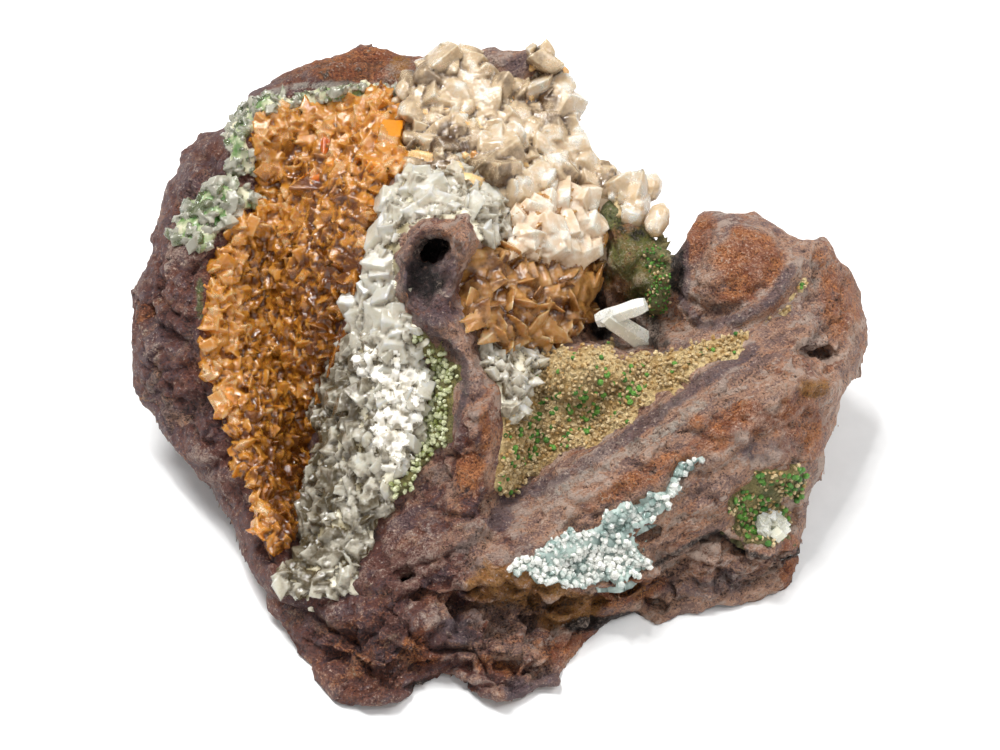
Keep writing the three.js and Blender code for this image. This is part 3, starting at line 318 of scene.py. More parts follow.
def fractal(points: Array, size: float, octaves: int = 3, seed: int = 0) -> Array:
    """A sum of noises, each at half the size and half the height of the one before."""
    total = np.zeros(points.shape[:-1])
    for octave in range(octaves):
        x, y, z = np.moveaxis(points * (2**octave / size) + 31.7 * seed + 11.3 * octave, -1, 0)
        total += value_noise(x, y, z) / 2**octave
    return total


def draws(cells: Array, first: int, count: int) -> Array:
    """Random numbers from 0 to 1 for lattice cells: count of them in a row, from number first on."""
    i, j, k = cells.T
    return np.stack([hashed(i, j, k + DRAW * n) for n in range(first, first + count)], axis=1)


def chips(points: Array, size: float, seed: int) -> Array:
    """Broken-stone relief: each place takes the random slope and level of its nearest seed point.

    One seed point sits at a random place in each cell of a lattice. Height = (place - seed point)
    . slope + level, in cell sizes.

    Args:
        points: places in space, millimetres.
        size: how large a chip is, millimetres.
        seed: which set of chips.

    Returns:
        Heights of about -0.6 to 0.6.
    """
    scaled = points / size + 57.1 * seed
    home = np.floor(scaled).astype(np.int64)
    least = np.full(points.shape[0], np.inf)
    height = np.zeros(points.shape[0])
    for offset in product((-1, 0, 1), repeat=3):
        cells = home + np.array(offset)
        away = scaled - (cells + draws(cells, 0, 3))
        distance = (away**2).sum(axis=1)
        slope = draws(cells, 3, 3) - 0.5
        level = hashed(*(cells + LEVEL_DRAW).T) - 0.5
        nearer = distance < least
        least = np.where(nearer, distance, least)
        height = np.where(nearer, (away * slope).sum(axis=1) + 0.6 * level, height)
    return height


def cracks(points: Array, size: float, across: Array, flatness: float, seed: int) -> Array:
    """Clefts between broken slabs: 1 on the border between two cells of random seed points, 0 within.

    Cells are size wide and size / flatness thick along across. Value = exp(-((f2 - f1) / 0.11)
    squared), with f1 and f2 the distances to the two nearest seed points, in cell sizes.

    Args:
        points: places in space, millimetres.
        size: how wide a slab is, millimetres.
        across: the slabs' thin direction, of length one.
        flatness: how many times thinner than wide they are.
        seed: which set of slabs.

    Returns:
        Values from 0 to 1.
    """
    scaled = (points + (flatness - 1) * (points @ across)[:, None] * across) / size + 43.7 * seed
    home = np.floor(scaled).astype(np.int64)
    first = np.full(points.shape[0], 9.0)
    second = np.full(points.shape[0], 9.0)
    for offset in product((-1, 0, 1), repeat=3):
        cells = home + np.array(offset)
        distance = np.linalg.norm(scaled - (cells + draws(cells, 0, 3)), axis=1)
        second = np.minimum(second, np.maximum(first, distance))
        first = np.minimum(first, distance)
    return np.exp(-(((second - first) / 0.11) ** 2))


def layers(points: Array, across: Array, thickness: float, seed: int) -> Array:
    """Layered relief: every layer stands out by its own random amount, with short ramps between.

    Layer number = floor(s), with s = place . across / thickness, bent by a slow noise.
    """
    s = points @ across / thickness + 1.3 * fractal(points, 21.0, 2, seed)
    number = np.floor(s)
    ramp = np.clip((s - number - 0.72) / 0.28, 0, 1)
    here, there = (hashed(number + n, np.zeros(s.shape), np.full(s.shape, seed)) for n in (0, 1))
    return here + (there - here) * ramp - 0.5


def inside_depth(outline: Array, a: Array, b: Array) -> Array:
    """Distance to a closed outline, positive inside: to its nearest side, signed by crossings.

    Args:
        outline: its corners, (a, b) rows.
        a: places to test.
        b: places to test.

    Returns:
        The signed distances, in the shape of a.
    """
    least = np.full(a.shape, np.inf)
    inside = np.zeros(a.shape, bool)
    for (a0, b0), (a1, b1) in zip(np.roll(outline, 1, axis=0), outline):
        run, rise = a1 - a0, b1 - b0
        t = np.clip(((a - a0) * run + (b - b0) * rise) / (run * run + rise * rise), 0, 1)
        least = np.minimum(least, np.hypot(a - a0 - t * run, b - b0 - t * rise))
        if rise:
            inside ^= ((b0 > b) != (b1 > b)) & (a < run * (b - b0) / rise + a0)
    return np.where(inside, least, -least)


def line_distance(line: Array, a: Array, b: Array) -> tuple[Array, Array, Array]:
    """How far places lie from a line of straight pieces, on which side, and its height there.

    Args:
        line: its points, (a, b) or (a, b, w) rows.
        a: places to test.
        b: places to test.

    Returns:
        The distances, +1 left of the line or -1 right of it, and w of the nearest point.
    """
    least, side, height = np.full(a.shape, np.inf), np.ones(a.shape), np.zeros(a.shape)
    for start, end in zip(line[:-1], line[1:]):
        run, rise = end[0] - start[0], end[1] - start[1]
        t = np.clip(((a - start[0]) * run + (b - start[1]) * rise) / (run * run + rise * rise), 0, 1)
        far = np.hypot(a - start[0] - t * run, b - start[1] - t * rise)
        nearer = far < least
        least = np.where(nearer, far, least)
        side = np.where(nearer, np.sign(run * (b - start[1]) - rise * (a - start[0])), side)
        height = np.where(nearer, start[-1] + t * (end[-1] - start[-1]), height)
    return least, side, height


def smoothstep(low: float, high: float, value: Array) -> Array:
    """0 below low, 1 above high, and t t (3 - 2 t) between."""
    t = np.clip((value - low) / (high - low), 0, 1)
    return t * t * (3 - 2 * t)


def face_noise(a: Array, b: Array, size: float, layer: float) -> Array:
    """Noise from -1 to 1 over the face, with lumps of a size in millimetres. Layers are independent."""
    return value_noise(a / size, b / size, np.full(a.shape, float(layer)))


def oval(at: tuple[float, float], across: tuple[float, float], turn: float, a: Array, b: Array) -> Array:
    """Distance from the middle of an oval that is turned on the face: 1 on its edge."""
    u, v = a - at[0], b - at[1]
    cosine, sine = math.cos(turn), math.sin(turn)
    return np.hypot((u * cosine + v * sine) / across[0], (v * cosine - u * sine) / across[1])


def round_off(distance: Array, radius: float) -> Array:
    """A quarter circle that falls from 1 at the outline to 0 at radius inside it."""
    left = 1 - np.clip(distance / radius, 0, 1)
    return 1 - np.sqrt(1 - left * left)


class HeightField:
    """A sum of slightly rounded cones that passes through every given height."""

    def __init__(self, points: Array, rounding: float = 0.8) -> None:
        """Solves for the cones' weights."""
        self.rounding = rounding
        self.places = points[:, :2]
        self.mean = float(points[:, 2].mean())
        cones = np.stack([self.cone(points[:, 0], points[:, 1], p) for p in self.places], axis=1)
        self.weights = np.linalg.solve(cones, points[:, 2] - self.mean)

    def cone(self, a: Array, b: Array, place: Array) -> Array:
        """sqrt(distance squared + rounding squared) from one place."""
        return np.sqrt((a - place[0]) ** 2 + (b - place[1]) ** 2 + self.rounding**2)

    def at(self, a: Array, b: Array) -> Array:
        """The heights at places."""
        total = np.full(a.shape, self.mean)
        for place, weight in zip(self.places, self.weights):
            total += weight * self.cone(a, b, place)
        return total


class Relief(Protocol):
    """A named form that is worked into the rock's front surface."""

    def work(self, a: Array, b: Array, w: Array) -> Array:
        """The heights w at places (a, b) with the form worked in."""


@dataclass(frozen=True)
class Ridge:
    """A thin standing wall: flat on top for half_width, then falling by fall for each millimetre."""

    line: tuple[tuple[float, float, float], ...]
    half_width: float
    fall: float

    def work(self, a: Array, b: Array, w: Array) -> Array:
        """max(w, top - fall max(distance - half width, 0))."""
        far, _, top = line_distance(np.array(self.line), a, b)
        wobble = 0.35 * face_noise(a, b, 1.7, 5)
        return np.maximum(w, top - self.fall * np.maximum(far - self.half_width - wobble, 0))


@dataclass(frozen=True)
class Groove:
    """A crack: depth exp(-(distance / width) squared) is taken away along a line."""

    line: tuple[tuple[float, float], ...]
    width: float
    depth: float

    def work(self, a: Array, b: Array, w: Array) -> Array:
        """w less the crack's depth, along a line made crooked by noise."""
        bend = [0.7 * face_noise(a, b, 2.3, layer) for layer in (40, 45)]
        far, _, _ = line_distance(np.array(self.line), a + bend[0], b + bend[1])
        return w - self.depth * np.exp(-((far / self.width) ** 2))


@dataclass(frozen=True)
class Ledge:
    """An overhanging shelf's front: right of the line the rock drops, and comes back over reach."""

    line: tuple[tuple[float, float], ...]
    drop: float
    reach: float

    def work(self, a: Array, b: Array, w: Array) -> Array:
        """w - drop exp(-distance / reach) on the right of the line, with a sharp upper edge."""
        bend = [0.9 * face_noise(a, b, 3.1, layer) for layer in (60, 65)]
        far, side, _ = line_distance(np.array(self.line), a + bend[0], b + bend[1])
        below = smoothstep(-0.35, 0.35, -side * far)
        return w - self.drop * below * np.exp(-far / self.reach)


@dataclass(frozen=True)
class Mound:
    """A rounded boulder that stands out of the face, oval and turned on it."""

    at: tuple[float, float]
    across: tuple[float, float]
    height: float
    turn: float = 0.0

    def work(self, a: Array, b: Array, w: Array) -> Array:
        """w + height (1 - out squared) to the power 0.6 inside the oval."""
        out = oval(self.at, self.across, self.turn, a, b) + 0.2 * face_noise(a, b, 2.4, 83)
        return w + self.height * np.clip(1 - out * out, 0, 1) ** 0.6


@dataclass(frozen=True)
class Pit:
    """A hole or a hollow with an oval mouth, at a place and turned on the face."""

    at: tuple[float, float]
    across: tuple[float, float]
    depth: float
    turn: float = 0.0
    edge: float = 0.3

    def work(self, a: Array, b: Array, w: Array) -> Array:
        """w less depth inside the oval, with a wall edge wide in shares of its radius."""
        out = oval(self.at, self.across, self.turn, a, b) + 0.16 * face_noise(a, b, 1.3, 81)
        return w - self.depth * (1 - smoothstep(1 - self.edge, 1 + self.edge, out))


# The named forms of the rock's front, worked in one after the other.
RELIEFS: tuple[Relief, ...] = (
    Ridge(((-7.1, 18.6, 15.6), (-8.4, 20.3, 15.6), (-10.6, 20.4, 15.4), (-12.5, 18.9, 15),
           (-13.3, 16.4, 14.6), (-13.3, 12.6, 14.4),
           (-12.5, 9.8, 14.6), (-10.5, 7.6, 15), (-8.4, 5.7, 15.3), (-6.2, 4.3, 15.6), (-4.2, 2.7, 15.9),
           (-3.8, 0, 16.2),
           (-3.6, -3.5, 16.5)), 0.15, 3.6),
    Ridge(((-5.2, 20.9, 16.4), (-4.6, 18.3, 16.4), (-5.9, 15.5, 15.4), (-7, 12.6, 14.9), (-7, 9.8, 14.9),
           (-6.3, 7.4, 15),
           (-4.5, 4.2, 15.6)), 0.15, 3.6),
    Ridge(((-9.2, 15.8, 12.4), (-10.1, 12.9, 12.4), (-9.4, 9.8, 13.2), (-7.6, 7.1, 14.2)), 1.8, 1.0),
    Mound((-5, 19.2), (1.9, 2.3), 1.2, 0.2),
    Ridge(((-3.2, -3.2, 16.2), (-3.1, -7, 16.5), (-3.4, -10.5, 16.8), (-4.2, -15.4, 17.3),
           (-5, -20.3, 17.5)), 2.0, 1.6),
    Ridge(((25.8, 18.1, 1), (25.5, 15.8, 1.5), (26, 12.6, 1.5), (25.6, 10.1, 1.5), (28.4, 6.7, 4.2),
           (33.9, 8, 6),
           (38.1, 10.5, 5), (41, 15, 3)), 0.5, 1.2),
    Ledge(((42, 3.2), (35.3, 4.1), (30.2, 1.3), (25.2, -2.1), (19.6, -6.2), (14, -9.9), (8.4, -13.3),
           (2.1, -17.1)), 1.2, 3.0),
    Ledge(((0.7, -30.4), (6.3, -31.5), (11.9, -32.3), (16.8, -29.8), (21, -27.4), (23.5, -24.8),
           (26.6, -23.7), (28, -22),
           (30.8, -21.7), (34.3, -24.4), (38.5, -25.3), (42, -24.4)), 4.5, 4.0),
    Ledge(((-11.2, -30.9), (-7, -32.3), (-1.4, -31.5), (2.8, -33.2), (9.8, -35.4)), 2.0, 3.5),
    Ledge(((-12.6, -39.2), (-8.4, -41), (-2.8, -39.2), (2.8, -40.6), (8.4, -39.2)), 2.2, 4.0),
    Ledge(((-29.4, -37.1), (-23.8, -38.8), (-16.8, -41), (-12.6, -39.2)), 1.4, 4.0),
    Groove(((-51.8, 10.5), (-47.6, 8.3), (-45.9, 4.2), (-42, 3.5)), 0.5, 1.1),
    Groove(((-47.6, -2.8), (-44.8, -1.4), (-41.3, -3.8), (-38.9, -9.1), (-36.4, -14.7), (-34.2, -18.2)),
           0.55, 1.2),
    Groove(((-49, 15.8), (-43.4, 16.4), (-39.9, 15)), 0.45, 0.9),
    Groove(((0, -17.5), (-0.8, -21.7), (-2.8, -24.2), (-7, -25.3)), 0.4, 1.0),
    Groove(((-15.4, -28.4), (-11.2, -28.7), (-7, -30.1)), 0.45, 1.2),
    Groove(((8.4, -25.9), (14, -32.1), (21, -29)), 0.6, 1.8),
    Groove(((19.6, -14.7), (14, -17.5), (8.4, -20.3), (2.8, -21.4)), 0.4, 0.5),
    Groove(((2.8, -19.2), (9.1, -15.8), (14.7, -12.7), (20.3, -9.1), (26.6, -4.9), (32.2, -1.8)), 0.35, 1.0),
    Groove(((14, -15.7), (21, -11.6), (28, -8), (35, -5.6), (40.6, -3.5)), 0.3, 0.8),
    Groove(((33.6, -0.7), (37.8, -0.4), (42, -2.4), (44.1, -6.3)), 0.3, 0.8),
    Mound((19.9, 16.4), (5.2, 7.6), 3.6, 0.25),
    Mound((17.9, 17.5), (2.4, 2.8), 1.2, 0.25),
    Mound((21.3, 12.2), (2.6, 3.4), 1.2, 0.25),
    Groove(((18.2, 14), (20.3, 15.8), (23.5, 14.7)), 0.5, 1.2),
    Groove(((16.5, 11.9), (19.6, 10.5), (21.7, 8.4)), 0.5, 1.0),
    Mound((15, 22.5), (2.8, 3.4), 2.6, 0.2),
    Mound((10.9, 1), (8.4, 4.2), 3.0, 0.0),
    Mound((18.2, -30.4), (5.0, 2.0), 2.2, 0.35),
    Groove(((4.2, -35.4), (11.2, -35.1), (19.6, -33.2), (23.5, -30.1)), 0.6, 2.6),
    Groove(((12.6, 23.8), (13.4, 18.9), (12.3, 14), (13.7, 10.5)), 1.2, 3.2),
    Groove(((24.4, 21.4), (25.3, 16.4), (24.6, 10.8), (23, 8.8)), 0.9, 3.4),
    Groove(((15.7, 19.5), (19.6, 18.9), (22.7, 18.1)), 0.5, 1.3),
    Pit((-9.2, 17.9), (2.7, 1.7), 10.0, 0.3, 0.1),
    Pit((44.5, 2.9), (2.5, 0.9), 6.0, -0.1),
    Pit((-13.2, -28.4), (1.4, 0.9), 5.0, 0.3),
    Pit((-12.9, -32.5), (0.9, 0.7), 3.0, 0.0),
    Pit((-5.3, -32.1), (2.6, 0.8), 3.0, -0.2),
    Pit((1.1, -30.1), (1.3, 0.6), 3.0, 0.3),
    Pit((0.7, -40.5), (1.8, 0.6), 3.0, 0.1),
    Pit((-8.4, -43.8), (3.4, 1.4), 5.0, 0.15),
    Pit((20.7, -22), (1.7, 0.8), 2.5, 0.4),
    Pit((24.5, 8.1), (1.6, 1.2), 1.6, 0.4),
    Pit((25.2, 5.2), (4.2, 1.5), 1.8, 0.35),
    Pit((30.1, 8), (2.4, 1.2), 1.5, 0.4),
    Pit((12.3, 8), (2.6, 3.6), 4.5, 0.2),
    Pit((37.1, -18.6), (4.6, 4.6), 1.6, 0.6, 0.15),
    Pit((14, -26.2), (7.0, 2.6), 1.2, 0.1, 0.15),
    Pit((18.2, -20), (5.0, 1.5), 1.2, 0.55, 0.2),
    Pit((24.6, -14.7), (3.4, 1.2), 1.0, 1.0, 0.2),
    Pit((-10.5, 32.9), (2.6, 1.5), 2.0, -0.6, 0.2),
    Pit((-1.4, 33.3), (1.8, 1.1), 2.0, 0.2, 0.2),
)


@dataclass(frozen=True)
class BackPlane:
    """A plane that closes the rock behind: its outward direction and its distance, millimetres."""

    out: tuple[float, float, float]
    distance: float


BACK_PLANES = (
    BackPlane((0.0, 0.0, -1.0), 1.3),
    BackPlane((0.0, 1.0, -0.12), 39.0),
    BackPlane((-0.7, 0.62, -0.3), 43.0),
    BackPlane((0.72, 0.6, -0.28), 42.0),
    BackPlane((-0.78, -0.05, -0.62), 27.0),
    BackPlane((0.8, -0.05, -0.6), 30.0),
)


def unit(vectors: Array) -> Array:
    """Vectors scaled to length one."""
    return vectors / np.maximum(np.linalg.norm(vectors, axis=-1, keepdims=True), 1e-9)


def make_mesh(name: str, points: Array, faces: list[Array], smooth: bool = False) -> bpy.types.Mesh:
    """A mesh in metres from points in millimetres.

    Args:
        name: the mesh's name.
        points: its vertices, one row each.
        faces: arrays of corner numbers, one array for each count of corners.
        smooth: whether its faces are shaded smooth.

    Returns:
        The mesh.
    """
    mesh = bpy.data.meshes.new(name)
    sizes = np.concatenate([np.full(len(f), f.shape[1]) for f in faces])
    corners = np.concatenate([f.ravel() for f in faces])
    mesh.vertices.add(len(points))
    mesh.vertices.foreach_set("co", (points * MM).astype(np.float32).ravel())
    mesh.loops.add(len(corners))
    mesh.loops.foreach_set("vertex_index", corners.astype(np.int32))
    mesh.polygons.add(len(sizes))
    mesh.polygons.foreach_set("loop_start", (np.cumsum(sizes) - sizes).astype(np.int32))
    mesh.polygons.foreach_set("use_smooth", np.full(len(sizes), smooth))
    mesh.update(calc_edges=True)
    mesh.validate()
    return mesh


def read(items: bpy.types.bpy_prop_collection, name: str, width: int, kind: type = float) -> Array:
    """One property of all of a mesh's points, edges or corners, a row for each."""
    values = np.empty(len(items) * width, kind)
    items.foreach_get(name, values)
    return values.reshape(-1, width)


def add_object(mesh: bpy.types.Mesh, materials: list[bpy.types.Material]) -> bpy.types.Object:
    """An object of the mesh's name in the scene, with its materials."""
    made = bpy.data.objects.new(mesh.name, mesh)
    for material in materials:
        mesh.materials.append(material)
    bpy.context.scene.collection.objects.link(made)
    return made


def applied(draft: bpy.types.Object) -> bpy.types.Mesh:
    """The mesh of a draft with its modifiers applied. The draft is removed."""
    mesh = bpy.data.meshes.new_from_object(draft.evaluated_get(bpy.context.evaluated_depsgraph_get()))
    bpy.data.objects.remove(draft)
    return mesh


def write(mesh: bpy.types.Mesh, name: str, values: Array) -> None:
    """Gives a mesh a named number for each vertex."""
    mesh.attributes.new(name, "FLOAT", "POINT").data.foreach_set("value", values.astype(np.float32))


@dataclass
class RockFace:
    """The rock's front and back as heights on one fine grid of its face."""

    step: float = 0.45
    front_edge: float = 2.5
    back_edge: float = 8.0
    least_thickness: float = 3.0
    front: Array = field(init=False)
    back: Array = field(init=False)

    def __post_init__(self) -> None:
        """Works out every height, place and normal of the grid."""
        low, high = OUTLINE.min(axis=0), OUTLINE.max(axis=0)
        self.lines = [np.arange(lo, hi + self.step, self.step) for lo, hi in zip(low, high)]
        self.a, self.b = np.meshgrid(*self.lines)
        self.inside = inside_depth(OUTLINE, self.a, self.b)
        self.front = self.front_heights()
        self.back = self.back_heights()
        self.points = EYE.place(self.a, self.b, self.front)
        down, across = np.gradient(self.points, axis=(0, 1))
        self.normals = unit(np.cross(across, down))

    def front_heights(self) -> Array:
        """Cones through the given heights, lumps of two sizes, a rounded outline, the reliefs."""
        a, b = self.a, self.b
        lumps = 0.8 * face_noise(a, b, 6.5, 3)
        lumps += 0.45 * face_noise(a, b, 3.1, 7)
        heights = HeightField(HEIGHTS).at(a, b) + lumps
        heights -= self.front_edge * round_off(self.inside, self.front_edge)
        for relief in RELIEFS:
            heights = relief.work(a, b, heights)
        return heights

    def back_heights(self) -> Array:
        """Where the lines of sight leave the planes behind, made lumpy and drawn to the outline."""
        a, b = self.a, self.b
        start = EYE.place(a, b, np.zeros(a.shape))
        way = EYE.place(a, b, np.ones(a.shape)) - start
        depths = []
        for plane in BACK_PLANES:
            normal = unit(np.array(plane.out))
            depths.append((plane.distance - start @ normal) / (way @ normal))
        lumps = 1.6 * face_noise(a, b, 13, 21)
        lumps += 1.1 * face_noise(a, b, 5.5, 29)
        behind = np.minimum(np.max(depths, axis=0) + lumps, self.front - self.least_thickness)
        share = round_off(self.inside, self.back_edge)
        return behind + (self.front - behind) * share

    def look_up(self, grid: Array, a: Array, b: Array) -> Array:
        """The nearest grid value for each place."""
        column = np.clip(np.rint((a - self.lines[0][0]) / self.step).astype(int), 0, grid.shape[1] - 1)
        row = np.clip(np.rint((b - self.lines[1][0]) / self.step).astype(int), 0, grid.shape[0] - 1)
        return grid[row, column]


def closed_sheet(kept: Array, top: Array, bottom: Array) -> tuple[Array, Array]:
    """A closed body between two sheets of points, over the cells of a grid whose corners are kept.

    Its walls stand on the edges that only one such cell has.

    Args:
        kept: which points to use.
        top: points of the upper sheet, rows by columns by 3.
        bottom: points of the lower sheet.

    Returns:
        The vertices and the four-cornered faces.
    """
    rows, columns = top.shape[:2]
    j, i = np.nonzero(kept[:-1, :-1] & kept[1:, :-1] & kept[:-1, 1:] & kept[1:, 1:])
    first = j * columns + i
    upper = np.stack([first, first + 1, first + columns + 1, first + columns], axis=1)
    lower = upper[:, ::-1] + rows * columns
    edges = np.concatenate([upper[:, [n, (n + 1) % 4]] for n in range(4)])
    key = np.sort(edges, axis=1) @ np.array([rows * columns, 1])
    _, index, count = np.unique(key, return_index=True, return_counts=True)
    rim = edges[index[count == 1]]
    walls = np.stack([rim[:, 1], rim[:, 0], rim[:, 0] + rows * columns, rim[:, 1] + rows * columns], axis=1)
    faces = np.concatenate([upper, lower, walls])
    used, renumbered = np.unique(faces, return_inverse=True)
    points = np.concatenate([top.reshape(-1, 3), bottom.reshape(-1, 3)])[used]
    return points, renumbered.reshape(faces.shape)


class Wire:
    """A value that runs through a material's nodes. Its arithmetic adds Math nodes."""

    def __init__(self, board: "Board", socket: bpy.types.NodeSocket) -> None:
        """Takes hold of a node's output."""
        self.board = board
        self.socket = socket

    def maths(self, operation: str, first: "Wire | float", second: "Wire | float") -> "Wire":
        """One Math node."""
        return self.board.node("ShaderNodeMath", {"operation": operation}, {0: first, 1: second})

    def __add__(self, other: "Wire | float") -> "Wire":
        """self + other."""
        return self.maths("ADD", self, other)

    __radd__ = __add__

    def __mul__(self, other: "Wire | float") -> "Wire":
        """self * other."""
        return self.maths("MULTIPLY", self, other)

    __rmul__ = __mul__

    def __sub__(self, other: "Wire | float") -> "Wire":
        """self - other."""
        return self.maths("SUBTRACT", self, other)

    def __rsub__(self, other: "Wire | float") -> "Wire":
        """other - self."""
        return self.maths("SUBTRACT", other, self)

    def ramp(self, low: float, high: float) -> "Wire":
        """0 below low to 1 above high, with soft ends."""
        settings = {"interpolation_type": "SMOOTHSTEP"}
        return self.board.node("ShaderNodeMapRange", settings, {0: self, 1: low, 2: high})


def linear(tint: str) -> tuple[float, float, float, float]:
    """A tint such as 5a3c36 as linear red, green and blue, and full alpha."""
    shares = [int(tint[n : n + 2], 16) / 255 for n in (0, 2, 4)]
    red, green, blue = (s / 12.92 if s <= 0.04045 else ((s + 0.055) / 1.055) ** 2.4 for s in shares)
    return red, green, blue, 1.0


class Board:
    """The node tree of one material, and the one way that nodes are put on it."""

    def __init__(self, name: str) -> None:
        """Starts an empty material."""
        self.material = bpy.data.materials.new(name)
        self.material.use_nodes = True
        self.tree = self.material.node_tree
        self.tree.nodes.clear()
        self.place = self.node("ShaderNodeTexCoord", {}, {}, "Object")

    def node(self, kind: str, settings: dict, sockets: dict, output: int | str = 0) -> Wire:
        """Adds a node.

        Args:
            kind: the node's type.
            settings: its properties, set first.
            sockets: values or wires for its inputs, by name or number.
            output: which output to hand back.

        Returns:
            The output as a wire.
        """
        made = self.tree.nodes.new(kind)
        for key, value in settings.items():
            setattr(made, key, value)
        for key, value in sockets.items():
            if isinstance(value, Wire):
                self.tree.links.new(value.socket, made.inputs[key])
            else:
                made.inputs[key].default_value = value
        return Wire(self, made.outputs[output])

    def noise(self, size: float, detail: float = 3.0, roughness: float = 0.6, at: Wire | None = None) -> Wire:
        """Noise with features of a size in millimetres, spread out to fill 0 to 1."""
        sockets = {"Vector": at or self.place, "Scale": 1 / (size * MM), "Detail": detail,
                   "Roughness": roughness}
        return self.node("ShaderNodeTexNoise", {}, sockets).ramp(0.3, 0.7)

    def drawn_out(self, along: tuple[float, float, float], times: float) -> Wire:
        """p - (1 - 1 / times) (p . along) along: places on which a pattern is drawn out that many times."""
        reach = self.node("ShaderNodeVectorMath", {"operation": "DOT_PRODUCT"}, {0: self.place, 1: along},
                          "Value")
        back = self.node("ShaderNodeVectorMath", {"operation": "SCALE"},
                         {0: along, "Scale": reach * (1 - 1 / times)})
        return self.node("ShaderNodeVectorMath", {"operation": "SUBTRACT"}, {0: self.place, 1: back})

    def cells(self, size: float) -> Wire:
        """Distance to the nearest of many random points, a size in millimetres apart."""
        sockets = {"Vector": self.place, "Scale": 1 / (size * MM)}
        return self.node("ShaderNodeTexVoronoi", {"feature": "F1"}, sockets, "Distance")

    def facets(self, size: float) -> Wire:
        """Flat chips: (place - nearest random point) . (its random colour - grey), in cell sizes."""
        cell = self.cells(size)
        outputs = cell.socket.node.outputs
        away = self.node("ShaderNodeVectorMath", {"operation": "SUBTRACT"},
                         {0: self.place, 1: Wire(self, outputs["Position"])})
        slope = self.node("ShaderNodeVectorMath", {"operation": "SUBTRACT"},
                          {0: Wire(self, outputs["Color"]), 1: (0.5, 0.5, 0.5)})
        slant = self.node("ShaderNodeVectorMath", {"operation": "DOT_PRODUCT"}, {0: away, 1: slope}, "Value")
        return slant * (1 / (size * MM))

    def value(self, name: str) -> Wire:
        """A named number that the mesh carries."""
        return self.node("ShaderNodeAttribute", {"attribute_name": name}, {}, "Fac")

    def mix(self, share: Wire | float, low: Wire | str, high: Wire | str) -> Wire:
        """A colour between two, each a wire or a tint."""
        ends = [end if isinstance(end, Wire) else linear(end) for end in (low, high)]
        return self.node("ShaderNodeMix", {"data_type": "RGBA"}, {0: share, 6: ends[0], 7: ends[1]}, 2)

    def bump(self, height: Wire, depth: float, strength: float = 1.0) -> Wire:
        """A normal bent by a height, depth millimetres for a height of one."""
        return self.node("ShaderNodeBump", {}, {"Height": height, "Distance": depth * MM,
                                                "Strength": strength})

    def finish(self, sockets: dict, volume: Wire | None = None) -> bpy.types.Material:
        """Closes the material with a Principled shader.

        Args:
            sockets: the shader's inputs.
            volume: what fills the piece.

        Returns:
            The material.
        """
        surface = self.node("ShaderNodeBsdfPrincipled", {}, sockets)
        ends = {"Surface": surface} if volume is None else {"Surface": surface, "Volume": volume}
        output = self.tree.nodes.new("ShaderNodeOutputMaterial")
        for key, wire in ends.items():
            self.tree.links.new(wire.socket, output.inputs[key])
        return self.material


class Tint(Enum):
    """What colours the rock, each with the number that its mesh carries for it: stains, and a dark tint that
    is partly darker rock and partly painted shade in holes, cracks and under ledges.
    """

    RUST = "rust"
    OCHRE = "ochre"
    DARK = "dark_and_shade"
    PURPLE = "purple"
    PALE = "pale"
    MOSS = "moss"


@dataclass(frozen=True)
class StainAndShade:
    """An oval mark on the face, with a ragged edge. Most are stains; those of the dark tint are partly darker
    rock and partly painted shade.
    """

    at: tuple[float, float]
    across: tuple[float, float]
    turn: float = 0.0
    strength: float = 1.0

    def cover(self, a: Array, b: Array) -> Array:
        """strength inside the oval, falling to 0 over its outer half."""
        out = oval(self.at, self.across, self.turn, a, b) + 0.35 * face_noise(a, b, 2.1, 90)
        return self.strength * (1 - smoothstep(0.55, 1.15, out))


@dataclass(frozen=True)
class Band:
    """A mark along a line on the face. Most are stains; the dark band under the slab's ledge is painted
    shadow, and the pale band on the slab's upper edge is partly painted highlight.
    """

    line: tuple[tuple[float, float], ...]
    half_width: float
    strength: float = 1.0

    def cover(self, a: Array, b: Array) -> Array:
        """strength on the line, falling to 0 at one and a half times half_width."""
        far, _, _ = line_distance(np.array(self.line), a, b)
        out = far / self.half_width + 0.35 * face_noise(a, b, 1.6, 95)
        return self.strength * (1 - smoothstep(0.5, 1.5, out))
